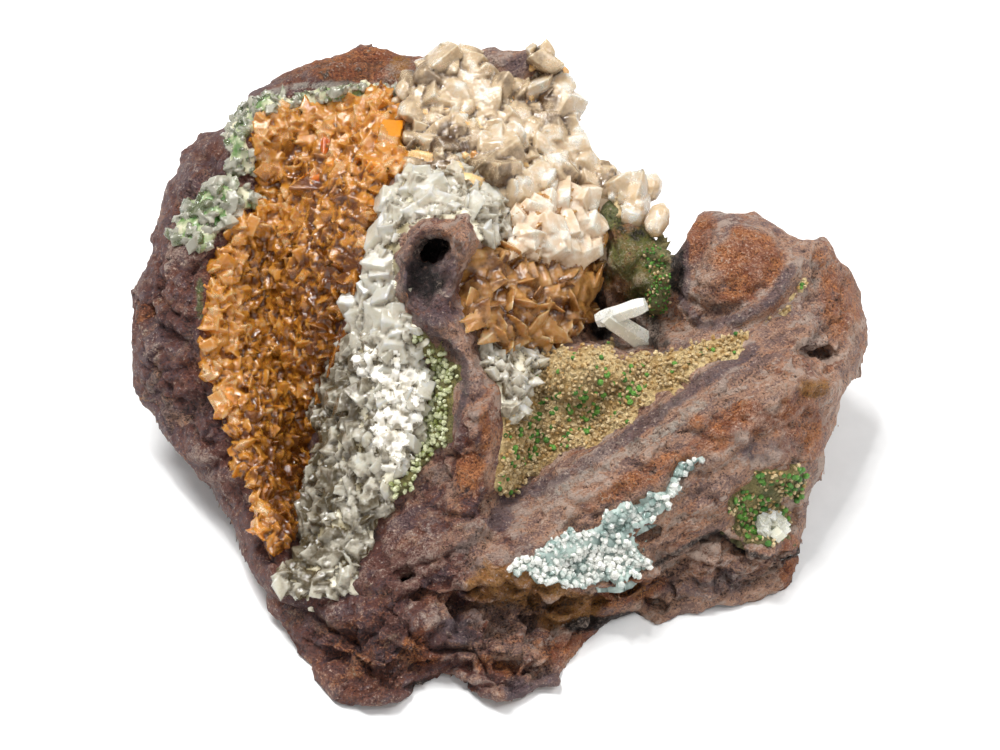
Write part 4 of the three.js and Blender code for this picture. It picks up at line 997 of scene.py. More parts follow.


# What stains the rock where, for each tint. The dark tint's marks are partly darker rock and partly painted
# shade in holes, cracks, crevices and under ledges.
STAINS_AND_SHADE: dict[Tint, tuple[StainAndShade | Band, ...]] = {
    Tint.RUST: (
        StainAndShade((-18.9, 43.3), (11, 3.0), 0.05, 1.0),
        StainAndShade((33.3, 15.8), (6.0, 5.2), 0.6, 1.0),
        StainAndShade((47.3, 11.9), (3.6, 7.0), 0.2, 0.75),
        StainAndShade((42, -7), (5.0, 5.5), 0.4, 0.7),
        StainAndShade((28.7, -9.8), (13.0, 2.2), 0.56, 0.75),
        StainAndShade((19.6, -14.4), (10.0, 1.8), 0.5, 0.7),
        StainAndShade((-10.5, -37.5), (3.6, 3.2), 0.6, 1.0),
        StainAndShade((-4.2, -13), (2.4, 4.2), 0.0, 0.9),
        StainAndShade((18.9, -30.4), (5.4, 1.9), 0.35, 1.0),
        StainAndShade((10.5, -38.2), (7.0, 1.6), 0.3, 0.9),
        StainAndShade((0, -41), (4.0, 1.6), -0.2, 0.8),
        StainAndShade((40.6, -26.6), (1.6, 5.0), -0.1, 1.0),
        StainAndShade((17.9, -30.4), (5.0, 1.8), 0.35, 1.0),
        StainAndShade((-2.2, -7.7), (1.2, 4.4), 0.0, 0.7),
        StainAndShade((-22.4, -39.2), (9.0, 5.0), 0.6, 0.4),
        StainAndShade((32.9, -6.3), (7.0, 2.6), 0.2, 0.9),
        StainAndShade((28, 18.9), (2.6, 4.0), -0.4, 0.8),
    ),
    Tint.OCHRE: (
        StainAndShade((-14, 43), (1.6, 1.6), 0.0, 1.0),
        StainAndShade((2.8, -29.8), (9.0, 3.4), -0.12, 1.0),
        StainAndShade((9.1, -33.2), (6.0, 2.6), 0.2, 0.9),
        StainAndShade((19.6, -30.1), (4.0, 1.2), 0.4, 0.6),
        StainAndShade((44.1, -1.8), (2.4, 1.6), 0.0, 1.0),
        StainAndShade((19, 15.8), (5.4, 8.0), 0.1, 0.85),
    ),
    # Dark: painted shade in the tube hole, the funnel, pits, cracks and crevices and under the slab's ledge,
    # and darker rock on the top wall and along the thin wall.
    Tint.DARK: (
        StainAndShade((-9.5, -43.3), (3.6, 1.2), 0.1, 1.0),
        StainAndShade((-9.2, 17.8), (2.4, 1.6), 0.3, 1.0),
        StainAndShade((-10.2, 14), (2.6, 5.6), 0.1, 0.7),
        StainAndShade((-19.6, 42.4), (12.0, 3.0), 0.05, 0.42),
        StainAndShade((14, -34.6), (7.0, 1.1), 0.15, 1.0),
        StainAndShade((19.6, 21), (4.0, 2.0), 0.1, 0.6),
        StainAndShade((14, 7), (3.0, 3.6), 0.3, 1.0),
        StainAndShade((-10.5, 33.6), (2.6, 1.8), -0.5, 0.8),
        StainAndShade((-18.9, -21), (2.4, 4.0), 0.1, 0.8),
        StainAndShade((12.3, 10.5), (2.2, 5.5), 0.1, 1.0),
        StainAndShade((13.2, 18.9), (1.6, 5.0), 0.1, 0.8),
        StainAndShade((19.6, 7), (5.0, 3.0), -0.5, 0.8),
        StainAndShade((24.8, 14.7), (1.2, 5.0), 0.0, 0.9),
        Band(((-13.3, 16.4), (-13.3, 12.6), (-12.5, 9.8), (-10.1, 6.6), (-7, 3.5), (-5, -0.7),
              (-5.6, -6.3)), 0.9, 0.35),
        Band(((21.7, -26.6), (26.6, -23.8), (30.5, -22.1), (34.3, -24.9), (38.5, -25.9), (42, -24.8)), 0.5,
             0.9),
    ),
    Tint.PURPLE: (
        StainAndShade((-6, -35.7), (3.2, 2.0), -0.3, 1.0),
        StainAndShade((-9.1, -37.1), (2.4, 2.4), 0.0, 0.8),
        StainAndShade((6.3, -44.1), (9.0, 2.4), 0.05, 0.9),
        StainAndShade((0, -20.3), (1.8, 2.2), 0.0, 0.9),
        StainAndShade((30.1, -29.4), (9.0, 2.2), 0.1, 0.6),
        StainAndShade((-9.5, 12.2), (4.4, 7.0), 0.0, 0.9),
        StainAndShade((2.8, 43.3), (3.4, 2.2), 0.0, 0.9),
        StainAndShade((37.8, -10.5), (5.0, 1.8), 0.3, 0.6),
        Band(((0.7, -17.5), (8.4, -14.4), (14, -11.2), (19.6, -7.3), (25.2, -3.2), (30.1, 0.7),
              (35.3, 3.6)), 1.0, 0.9),
        Band(((-9.8, 5.9), (-7, 4.1), (-5, 1.8), (-4.8, -2.1), (-5.9, -6.3), (-5.7, -10.5)), 0.7, 0.8),
        Band(((25.8, 18.1), (25.5, 15.8), (26, 12.6), (25.6, 10.1), (28.4, 6.7), (33.9, 8), (38.1, 10.5),
              (41, 15)), 0.8, 0.9),
    ),
    Tint.PALE: (
        # Along the slab's upper edge: partly pale rock, partly painted highlight on the edge.
        Band(((8.4, -16.1), (14, -13), (19.6, -9.9), (25.2, -6.6), (28, -4.1)), 0.9, 0.6),
        Band(((-33.3, 39.3), (-28, 40.5), (-21.7, 40.7), (-14, 39.6)), 0.5, 0.8),
        Band(((26.6, 7), (30.8, 9.8), (35, 8.8)), 0.4, 0.4),
    ),
    Tint.MOSS: (
        StainAndShade((20.7, 15), (5.0, 7.6), 0.1, 0.8),
        StainAndShade((14.8, 22.8), (3.2, 3.0), 0.0, 0.9),
        StainAndShade((17.1, 17.2), (2.4, 3.6), 0.0, 0.8),
        StainAndShade((-1.1, 33.7), (1.6, 1.0), 0.0, 0.9),
        StainAndShade((-42, 10.5), (0.8, 3.2), 0.0, 0.7),
    ),
}


@dataclass(frozen=True)
class RockFinish:
    """Rough iron-oxide rock: purple-brown to red-brown, with rust, ochre and green stains, dark marks that
    are partly painted shade, painted shade in its low places, and paler raised points and specks that are
    partly painted highlight.
    """

    shell: str = "74453a"
    slab: str = "cb9c80"
    dust_and_highlight: str = "dcc2b0"
    rust: str = "93491f"
    flame: str = "d28446"
    ochre: str = "bb8438"
    dark_and_shade: str = "100b0a"
    purple: str = "62525a"
    pale: str = "c4bdb0"
    moss: str = "5c7636"
    run: tuple[float, float, float] = (0.868, 0.351, 0.351)

    def make(self) -> bpy.types.Material:
        """The rock's material, from the numbers that its mesh carries and noise of several sizes."""
        board = Board("iron_oxide_rock")
        drawn = board.drawn_out(self.run, 3.5)
        broad, blotch, grit, speck = (board.noise(s, 4.0, 0.7) for s in (9.0, 3.4, 0.9, 0.32))
        streak, patch = board.noise(2.2, 4.0, 0.7, drawn), board.noise(6.0, 5.0, 0.75, drawn)
        warm = board.value("warm")
        tone = warm + (blotch - 0.5) * 0.8 + (broad - 0.5) * 0.6
        colour = board.mix(tone.ramp(0.1, 0.9), self.shell, self.slab)
        rusty = board.mix((speck * 0.5 + blotch * 0.5).ramp(0.3, 0.9), self.rust, self.flame)
        ruddy = (patch * 0.6 + streak * 0.3 + grit * 0.2).ramp(0.5, 0.8) * (warm * 0.5 + 0.25)
        colour = board.mix(ruddy, colour, rusty)
        dusky = (broad * 0.5 + streak * 0.4 + grit * 0.3).ramp(0.62, 0.85) * 0.7
        colour = board.mix(dusky, colour, self.purple)
        colour = board.mix((streak * 0.8 + grit * 0.2).ramp(0.5, 0.75) * warm * 0.7, colour, self.dust_and_highlight)
        colour = board.mix((streak * 0.7 + speck * 0.3).ramp(0.45, 0.2) * 0.6, colour, self.purple)
        ragged = (blotch - 0.5) * 0.6 + (grit - 0.5) * 0.7 + (speck - 0.5) * 0.3
        covers = ((Tint.RUST, rusty, 0.85), (Tint.OCHRE, board.mix(grit * 0.6, self.ochre, self.rust), 0.9),
                  (Tint.PURPLE, self.purple, 0.75), (Tint.PALE, self.pale, 0.7), (Tint.MOSS, self.moss, 0.8),
                  (Tint.DARK, self.dark_and_shade, 0.96))
        for tint, cover, most in covers:
            share = (board.value(tint.value) + ragged * 0.7).ramp(0.2, 0.9) * most
            colour = board.mix(share, colour, cover)
        # From the weathering height: raised points paler towards the dust tint, partly dust and partly
        # painted highlight; low places darker towards the dark tint, painted shade in recesses.
        high = board.value("high") + (grit - 0.5) * 0.35 + (speck - 0.5) * 0.5
        colour = board.mix(high.ramp(0.5, 1.1) * 0.6, colour, self.dust_and_highlight)
        colour = board.mix(high.ramp(-0.3, 0.45), board.mix(0.88, colour, self.dark_and_shade), colour)
        grains = grit * 0.4 + speck * 0.6
        colour = board.mix(grains.ramp(0.35, 0.1) * 0.7, colour, self.dark_and_shade)
        # Pale specks outside the dark marks: partly pale grit, partly painted glints.
        painted_glint_specks = grains.ramp(0.72, 0.92) * (1 - board.value(Tint.DARK.value)) * 0.5
        colour = board.mix(painted_glint_specks, colour, self.dust_and_highlight)
        chipped = board.facets(2.8) * 0.8 + board.facets(0.9) * 0.6
        relief = chipped + grit * 0.5 + speck * 0.35 + streak * warm * 0.5
        sockets = {"Base Color": colour, "Roughness": speck * 0.35 + 0.4, "Specular IOR Level": 0.5,
                   "Normal": board.bump(relief, 0.9, 1.0)}
        return board.finish(sockets)


@dataclass(frozen=True)
class CrystalFinish:
    """Glassy or milky crystal, clear through its faces and tinted by its depth.

    Absorption is what a metre of it takes away, as a density and the tint that stays. An emission glow in its
    own colour, set by its strength, is painted light.
    """

    name: str
    pale: str
    deep: str
    transmission: float
    roughness: float = 0.12
    ior: float = 1.6
    absorbed: str = "ffffff"
    density: float = 0.0
    frost: float = 0.25
    glow: float = 0.0
    painted_glow: float = 0.0
    spread: tuple[float, float, float] = (1.0, 0.9, 0.75)
    tip: str = ""

    def make(self) -> bpy.types.Material:
        """The crystal's material: tone for each crystal, cloudy noise, faint striations."""
        board = Board(self.name)
        cloud, fine = board.noise(2.2, 3.0), board.noise(0.35, 2.0, 0.7)
        tone = board.value("tone") * 0.75 + (cloud - 0.5) * 0.4 + 0.12
        colour = board.mix(tone.ramp(0.0, 0.8), self.deep, self.pale)
        # Tones above 0.7 take the tip tint: pale crystals, and the painted light on tips and edges.
        colour = board.mix(tone.ramp(0.7, 1.15) * 0.9, colour, self.tip or self.pale)
        rough = (cloud * 0.6 + fine * 0.4).ramp(0.3, 0.9) * self.frost + self.roughness
        sockets = {"Base Color": colour, "Roughness": rough, "IOR": self.ior,
                   "Transmission Weight": self.transmission, "Normal": board.bump(fine * 0.5 + cloud, 0.12,
                                                                                  0.4)}
        if self.glow:
            sockets |= {"Subsurface Weight": self.glow, "Subsurface Scale": 1.2 * MM,
                        "Subsurface Radius": self.spread}
        # Painted glow: the crystal emits its own colour, though it is no lamp.
        if self.painted_glow:
            sockets |= {"Emission Color": colour, "Emission Strength": self.painted_glow}
        volume = None
        if self.density:
            volume = board.node("ShaderNodeVolumeAbsorption", {},
                                {"Color": linear(self.absorbed), "Density": self.density})
        return board.finish(sockets, volume)


@dataclass(frozen=True)
class DruseFinish:
    """A fine grainy crust: each grain has its own tone between two tints, with specks of a third."""

    name: str
    low: str
    high: str
    speck: str
    roughness: float = 0.55
    transmission: float = 0.0

    def make(self) -> bpy.types.Material:
        """The grains' material."""
        board = Board(self.name)
        patch, fine = board.noise(2.4, 3.0), board.noise(0.4, 3.0, 0.7)
        tone = board.value("tone") * 0.8 + (patch - 0.5) * 0.4 + 0.1
        colour = board.mix(tone.ramp(0.05, 0.95), self.low, self.high)
        colour = board.mix((fine * 0.6 + patch * 0.4).ramp(0.6, 0.9) * 0.7, colour, self.speck)
        sockets = {"Base Color": colour, "Roughness": fine * 0.3 + (self.roughness - 0.15),
                   "Transmission Weight": self.transmission, "IOR": 1.6,
                   "Normal": board.bump(fine + patch, 0.4, 0.9)}
        return board.finish(sockets)


# In these finishes the number after the subsurface weight is the strength of a painted emission glow.
HOT = (1.0, 0.6, 0.25)
AMBER = CrystalFinish("amber_calcite", "f4a43c", "7a4006", 0.55, 0.08, 1.6, "f9b048", 110.0, 0.22, 0.4,
                      0.05, HOT, "ffd09a")
AMBER_HOT = CrystalFinish("hot_amber", "ffa42c", "c85204", 0.5, 0.06, 1.6, "ff9c28", 90.0, 0.15, 0.35, 0.16,
                          HOT)
AMBER_BED = CrystalFinish("amber_bed", "c87c22", "744006", 0.0, 0.3, 1.6, painted_glow=0.04)
CLEAR = CrystalFinish("clear_calcite", "f8f0da", "6c5e42", 0.52, 0.04, 1.6, "eee6ce", 40.0, 0.12, 0.45, 0.03,
                      tip="fffdf6")
CLEAR_BED = CrystalFinish("clear_bed", "f2ebd4", "8f8260", 0.0, 0.35, 1.6, painted_glow=0.02)
CHALK = CrystalFinish("chalky_calcite", "f6f1e6", "b9b09c", 0.0, 0.5, 1.5, glow=0.3)
CREAM = CrystalFinish("cream_calcite", "ecd2ac", "5c4126", 0.42, 0.08, 1.6, "f6e0bc", 45.0, 0.22, 0.55,
                      tip="fffaf0")
TAN = CrystalFinish("tan_calcite", "f3cf94", "c88f48", 0.25, 0.14, 1.6, "e8b878", 50.0, 0.28, 0.4, 0.0, HOT)
CREAM_LEAF = CrystalFinish("cream_leaf", "ead0b0", "9c7040", 0.3, 0.08, 1.6, "f4d8a8", 60.0, 0.2, 0.5, 0.05,
                           tip="fff8ea")
CREAM_BED = CrystalFinish("cream_bed", "d8bd8c", "5c4a2a", 0.0, 0.5, 1.6, glow=0.3)
HONEY = CrystalFinish("honey_calcite", "e0a45c", "663608", 0.5, 0.08, 1.6, "eeb070", 110.0, 0.16, 0.4, 0.02,
                      HOT, "ffe2b4")
ICE_BLUE = CrystalFinish("hemimorphite", "fffef6", "97b0a8", 0.3, 0.1, 1.61)
ICE_BED = CrystalFinish("hemimorphite_bed", "b9c9c0", "6f827c", 0.0, 0.4, 1.6)
GREEN_GLASS = CrystalFinish("green_glassy_crystal", "e6e2cc", "7c8a5a", 0.6, 0.05, 1.6, "c8cca8", 70.0, 0.12)
GREEN_BED = CrystalFinish("green_bed", "cdc6a8", "4f7a34", 0.0, 0.15, 1.6)
OLIVE = CrystalFinish("olive_grain", "eceec2", "86903c", 0.35, 0.15, 1.6)
OLIVE_BED = DruseFinish("olive_bed", "5c552c", "958b4a", "2a2214")
MILK = CrystalFinish("milky_crystal", "fbf9ee", "dedbc8", 0.25, 0.15, 1.6, "e6e4d2", 50.0, 0.3, 0.5, 0.05)
OCHRE_GRAIN = DruseFinish("ochre_grain", "c89c58", "fae0ac", "6a5230", 0.5)
OCHRE_BED = DruseFinish("ochre_bed", "b89458", "f2d69c", "5c4a2e", 0.75)
LEAF_GREEN = DruseFinish("green_spherule", "35701f", "76b344", "2a5a1c", 0.5)
MOSS_BED = DruseFinish("green_druse_bed", "565a30", "9c8c54", "2a2616", 0.75)


class Habit(Enum):
    """The crystal shapes."""

    RHOMB = "rhomb"
    BLADE = "blade"
    BLOCK = "block"
    GRAIN = "grain"
    BALL = "ball"
    LUMP = "lump"


def ball_form(across: int, roundness: float) -> tuple[Array, Array]:
    """A cube of across by across faces a side, each point drawn by roundness towards the sphere.

    Point = (1 - roundness) cube point / longest + roundness unit vector.
    """
    ticks = np.linspace(-1, 1, across + 1)
    points, faces = [], []
    for axis, sign in product(range(3), (-1.0, 1.0)):
        u, v = np.meshgrid(ticks, ticks, indexing="ij")
        side = np.empty((across + 1, across + 1, 3))
        side[..., axis] = sign
        side[..., (axis + 1) % 3], side[..., (axis + 2) % 3] = u, v
        j, i = np.meshgrid(np.arange(across), np.arange(across), indexing="ij")
        first = (j * (across + 1) + i).ravel() + len(points) * (across + 1) ** 2
        quads = np.stack([first, first + across + 1, first + across + 2, first + 1], axis=1)
        faces.append(quads if sign > 0 else quads[:, ::-1])
        points.append(side.reshape(-1, 3))
    stacked = np.round(np.concatenate(points), 6)
    merged, number = np.unique(stacked, axis=0, return_inverse=True)
    shaped = (1 - roundness) * merged + roundness * unit(merged)
    return shaped, number.ravel()[np.concatenate(faces)]


def habit_form(habit: Habit) -> tuple[Array, Array]:
    """A unit crystal that points along +Z, as points and faces of equal corner counts."""
    rounded = {Habit.BLOCK: (3, 0.4), Habit.BALL: (3, 1.0), Habit.LUMP: (6, 0.62)}
    if habit in rounded:
        return ball_form(*rounded[habit])
    if habit is Habit.RHOMB:
        cube, faces = ball_form(1, 0.0)
        upright = Vector((1, 1, 1)).rotation_difference(Vector((0, 0, 1))).to_matrix()
        turned = cube @ np.array(upright).T
        return turned * [math.sqrt(3 / 8), math.sqrt(3 / 8), 1 / math.sqrt(3)], faces
    sides = {Habit.BLADE: 6, Habit.GRAIN: 5}[habit]
    angle = np.arange(sides) * 2 * math.pi / sides
    ring = np.stack([np.cos(angle), np.sin(angle), np.zeros(sides)], axis=1)
    heights = {Habit.BLADE: (-0.35, 0.25), Habit.GRAIN: (-0.4, 0.4)}[habit]
    widths = {Habit.BLADE: (0.8, 1.0), Habit.GRAIN: (0.85, 0.85)}[habit]
    rings = [ring * [s, s, 1] + [0, 0, h] for s, h in zip(widths, heights)]
    points = np.concatenate([[[0, 0, -1.0]], *rings, [[0, 0, 1.0]]])
    here = np.arange(sides)
    after = (here + 1) % sides
    last = np.full(sides, 2 * sides + 1)
    zero = np.zeros(sides, int)
    faces = [(zero, after + 1, here + 1), (here + 1, after + 1, after + 1 + sides),
             (here + 1, after + 1 + sides, here + 1 + sides), (here + 1 + sides, after + 1 + sides, last)]
    return points, np.concatenate([np.stack(f, axis=1) for f in faces])


# How high on the face the crystals reach their full gain, and how much a crystal's tone rises from foot to
# tip: painted shade at the foot and painted light at the tip.
UPPER_EDGE = 36.0
PAINTED_TIP_LIGHT_FOOT_SHADE = 0.3


@dataclass
class Batch:
    """Many crystals of one kind: points, faces and each point's tone."""

    points: Array
    faces: Array
    tones: Array


def repeated(faces: Array, count: int, points_each: int) -> Array:
    """The faces of count like forms, whose points follow one another."""
    return (faces[None] + (np.arange(count) * points_each)[:, None, None]).reshape(-1, faces.shape[1])


@dataclass(frozen=True)
class Growth:
    """How one kind of crystal stands in a crust. Sizes are half widths, stretch is length over width."""

    habit: Habit
    finish: CrystalFinish | DruseFinish
    spacing: float
    size: tuple[float, float]
    stretch: tuple[float, float] = (1.0, 1.0)
    flat: tuple[float, float] = (1.0, 1.0)
    tilt: float = 0.9
    skew: float = 0.2
    sunk: float = 0.2
    share: float = 1.0
    upper_gain: float = 0.0
    within: str = ""
    smooth: bool = False
    tones: tuple[float, float] = (0.0, 1.0)

    def batch(self, face: RockFace, crust: "Crust", seed: int) -> Batch:
        """All its crystals on a crust: point = seat + turn (skew (scale form)) + outward shift."""
        seats, normals = crust.seats(face, self, seed)
        random = np.random.default_rng(seed + 7)
        form, faces = habit_form(self.habit)
        count = len(seats)
        along = unit(normals + self.tilt * unit(random.normal(size=(count, 3))))
        gain = 1 + self.upper_gain * smoothstep(0.0, UPPER_EDGE, EYE.face_of(seats)[1])
        half = random.uniform(*self.size, count) * gain
        length = half * random.uniform(*self.stretch, count)
        flat = half * random.uniform(*self.flat, count)
        first = unit(np.cross(along, unit(random.normal(size=(count, 3)))))
        turn = np.stack([first, np.cross(along, first), along], axis=2)
        skew = np.eye(3) + self.skew * random.uniform(-1, 1, (count, 3, 3))
        shaped = form[None] * np.stack([half, flat, length], axis=1)[:, None]
        shaped = np.einsum("nij,nvj->nvi", turn @ skew, shaped)
        shift = along * (length * (1 - 2 * self.sunk) * 0.5)[:, None]
        points = (shaped + (seats + shift)[:, None]).reshape(-1, 3)
        # Tone rises from foot to tip: painted shade at the foot, painted light at the tip.
        tones = np.repeat(random.uniform(*self.tones, count), len(form)) + np.tile(PAINTED_TIP_LIGHT_FOOT_SHADE * form[:, 2],
                                                                                   count)
        return Batch(points, repeated(faces, count, len(form)), tones)


@dataclass(frozen=True)
class Shade:
    """An oval on the face where a crust's crystals are paler, or deeper if amount is negative."""

    at: tuple[float, float]
    across: tuple[float, float]
    amount: float
    turn: float = 0.0

    def cover(self, a: Array, b: Array) -> Array:
        """1 in the oval's middle, falling to 0 at its edge."""
        return 1 - smoothstep(0.3, 1.2, oval(self.at, self.across, self.turn, a, b))


@dataclass(frozen=True)
class Placed:
    """Crystals that are placed one by one.

    Each row is its place (a, b), its half sizes along its long way, across it and towards the eye,
    its turn on the face, its lift off the rock and its tone.
    """

    habit: Habit
    finish: CrystalFinish | DruseFinish
    rows: tuple[tuple[tuple[float, float], tuple[float, float, float], float, float, float], ...]
    skew: float = 0.15
    smooth: bool = False

    def batch(self, face: RockFace, crust: "Crust", seed: int) -> Batch:
        """point = place + lift + turn (skew (scale form)), slightly lumpy where smooth."""
        random = np.random.default_rng(seed)
        form, faces = habit_form(self.habit)
        count = len(self.rows)
        at = np.array([row[0] for row in self.rows])
        half = np.array([row[1] for row in self.rows])
        turn = np.array([row[2] for row in self.rows])
        lift = np.array([row[3] for row in self.rows])
        right, up, towards = EYE.axes
        first = np.cos(turn)[:, None] * right + np.sin(turn)[:, None] * up
        first = unit(first + 0.25 * random.normal(size=(count, 1)) * towards)
        third = unit(towards + 0.2 * random.normal(size=(count, 3)))
        second = unit(np.cross(third, first))
        axes = np.stack([first, second, np.cross(first, second)], axis=2)
        skew = np.eye(3) + self.skew * random.uniform(-1, 1, (count, 3, 3))
        shaped = np.einsum("nij,nvj->nvi", axes @ skew, form[None] * half[:, None])
        middle = EYE.place(at[:, 0], at[:, 1], face.look_up(face.front, at[:, 0], at[:, 1]) + lift)
        points = (shaped + middle[:, None]).reshape(-1, 3)
        if self.smooth:
            points += 0.34 * np.stack([fractal(points, 2.1, 3, seed + n) for n in range(3)], axis=1)
        # Tone rises from foot to tip: painted shade at the foot, painted light at the tip.
        tones = np.repeat([row[4] for row in self.rows], len(form)) + np.tile(0.2 * form[:, 2], count)
        return Batch(points, repeated(faces, count, len(form)), tones)


@dataclass(frozen=True)
class Leaves:
    """Pointed leaf-like blades, placed one by one.

    Each row is its foot (a, b), its tip (a, b), its half width, the lifts of foot and tip off the
    rock, and its tone.
    """

    finish: CrystalFinish
    rows: tuple[tuple[tuple[float, float], tuple[float, float], float, float, float, float], ...]
    rings: int = 7
    smooth: bool = False

    def batch(self, face: RockFace, crust: "Crust", seed: int) -> Batch:
        """Each is a pointed blade on a grid: half width min(s / 0.35, (1 - s) / 0.65) to the 0.8.

        s runs from foot to tip and u from -1 to 1 across. The middle line is arched by
        0.16 length s (1 - s), and the upper and lower sheets stand off it by thickness (1 - u size).
        """
        feet, tips = (np.array([row[n] for row in self.rows]) for n in (0, 1))
        wide, low, high, tone = (np.array([row[n] for row in self.rows]) for n in (2, 3, 4, 5))
        start = EYE.place(feet[:, 0], feet[:, 1], face.look_up(face.front, feet[:, 0], feet[:, 1]) + low)
        end = EYE.place(tips[:, 0], tips[:, 1], face.look_up(face.front, tips[:, 0], tips[:, 1]) + high)
        along = end - start
        length = np.linalg.norm(along, axis=1)
        side = unit(np.cross(EYE.axes[2], along))
        upward = np.cross(unit(along), side)
        s = np.linspace(0, 1, self.rings)[:, None]
        u = np.linspace(-1, 1, 5)[None, :]
        width = np.minimum(s / 0.35, (1 - s) / 0.65) ** 0.8
        sheets = []
        for over in (1.0, -0.6):
            arch = 0.16 * s * (1 - s) * length[:, None, None]
            rise = arch + over * 0.45 * (1 - np.abs(u)) * width * wide[:, None, None]
            place = start[:, None, None] + s[..., None] * along[:, None, None]
            place = place + (u * width)[None, ..., None] * (wide[:, None] * side)[:, None, None]
            sheets.append(place + rise[..., None] * upward[:, None, None])
        count, across = len(self.rows), 5
        points = np.stack(sheets, axis=1).reshape(-1, 3)
        each = 2 * self.rings * across
        j, i = np.meshgrid(np.arange(self.rings - 1), np.arange(across - 1), indexing="ij")
        corner = (j * across + i).ravel()
        over = np.stack([corner, corner + across, corner + across + 1, corner + 1], axis=1)
        under = over[:, ::-1] + self.rings * across
        faces = repeated(np.concatenate([over, under]), count, each)
        # Tone rises from foot to tip: painted shade at the foot, painted light at the tip.
        painted_tip_light = np.broadcast_to(0.3 * s - 0.1, (self.rings, across)).ravel()
        tones = np.repeat(tone, each) + np.tile(painted_tip_light, 2 * count)
        return Batch(points, faces, tones)


# Every crust, in millimetres: its gap to the thin walls, how far its rim dips under the rock, how deep
# its bed is rooted and how far the bed reaches out of its region.
WALL_GAP = 1.4
RIM_DIP = 1.4
BED_ROOT = 1.6
BED_REACH = 0.8


@dataclass
class Crust:
    """A crust of crystals over a region of the rock: a closed bed and the growths that stand in it."""

    name: str
    node: str | None
    slot: str
    region: str
    bed: CrystalFinish | DruseFinish
    thickness: float
    growths: tuple[Growth | Placed | Leaves, ...]
    shades: tuple[Shade, ...] = ()
    gaps: tuple[Shade, ...] = ()
    bed_lumps: float = 0.35
    edge: float = 1.2
    fused: float = 0.0
    seed: int = 1

    def depth(self, face: RockFace) -> Array:
        """How far inside its ragged region each grid place lies."""
        wobble = 0.9 * face_noise(face.a, face.b, 2.2, 70 + self.seed)
        wobble += 0.5 * face_noise(face.a, face.b, 0.9, 72 + self.seed)
        depth = np.minimum(inside_depth(REGIONS[self.region], face.a, face.b) + wobble, face.inside)
        for relief in RELIEFS:
            if isinstance(relief, Ridge):
                far, _, _ = line_distance(np.array(relief.line), face.a, face.b)
                depth = np.minimum(depth, far - relief.half_width - WALL_GAP)
        for gap in self.gaps:
            depth = np.minimum(depth, 3 - 8 * gap.cover(face.a, face.b))
        return depth

    def bed_mesh(self, face: RockFace) -> tuple[Array, Array]:
        """The bed, whose top dips under the rock at its rim, as points and faces."""
        depth = self.depth(face)
        points = face.points.reshape(-1, 3)
        lumps = fractal(points, 1.6, 3, self.seed).reshape(depth.shape)
        rise = (self.thickness + self.bed_lumps * lumps) * smoothstep(-0.4, self.edge, depth)
        rise -= RIM_DIP * (1 - smoothstep(-BED_REACH, 0.2, depth))
        top = face.points + rise[..., None] * face.normals
        bottom = face.points - BED_ROOT * face.normals
        return closed_sheet(depth > -BED_REACH, top, bottom)

    def seats(self, face: RockFace, growth: Growth, seed: int) -> tuple[Array, Array]:
        """Where crystals stand: one random grid place in each cube of side spacing, and its normal.

        Args:
            face: the rock's surface.
            growth: the kind of crystal.
            seed: the random seed.

        Returns:
            Places on the bed and the surface's normals.
        """
        random = np.random.default_rng(seed)
        depth = self.depth(face)
        if growth.within:
            depth = np.minimum(depth, inside_depth(REGIONS[growth.within], face.a, face.b))
        rows, columns = np.nonzero(depth > 0.15 + 0.6 * max(growth.size[1] - 1.5, 0))
        order = random.permutation(len(rows))
        rows, columns = rows[order], columns[order]
        points = face.points[rows, columns] + random.uniform(-0.2, 0.2, (len(rows), 3))
        cube = np.floor(points / growth.spacing + random.uniform(0, 1, 3)).astype(np.int64)
        _, first = np.unique(cube @ np.array([1, 4096, 16777216]), return_index=True)
        first = first[random.uniform(size=len(first)) < growth.share]
        rows, columns = rows[first], columns[first]
        normals = face.normals[rows, columns]
        thickness = self.thickness * smoothstep(-0.4, self.edge, depth[rows, columns])
        return points[first] + thickness[:, None] * normals, normals

    def shaded(self, batch: Batch) -> Array:
        """The tones, made paler or deeper by the crust's shades."""
        a, b, _ = EYE.face_of(batch.points)
        return np.clip(batch.tones + sum(shade.amount * shade.cover(a, b) for shade in self.shades), 0, 1)

    def build(self, face: RockFace) -> bpy.types.Object:
        """Makes the crust's piece.

        Args:
            face: the rock's surface.

        Returns:
            The piece, which stands for its node.
        """
        points, quads = self.bed_mesh(face)
        tone = 0.5 + 0.5 * fractal(points, 3.0, 2, self.seed)
        finishes = [self.bed]
        parts = [(points, quads, tone, 0, True)]
        for place, growth in enumerate(self.growths):
            if growth.finish not in finishes:
                finishes.append(growth.finish)
            batch = growth.batch(face, self, 100 * self.seed + place)
            batch.tones = self.shaded(batch)
            number = finishes.index(growth.finish)
            parts.append((batch.points, batch.faces, batch.tones, number, growth.smooth))
        made = assemble(self.name, self.node, parts, finishes)
        if self.fused:
            grow_together(made, self.fused)
        return made


# How much a fused crust's tone falls in its crevices, painted shade, and rises on its edges, painted
# highlight, and the tones' limits.
CREVICE_PAINTED_SHADE = 0.5
EDGE_PAINTED_HIGHLIGHT = 0.25
TONE_LIMITS = (-0.15, 1.1)


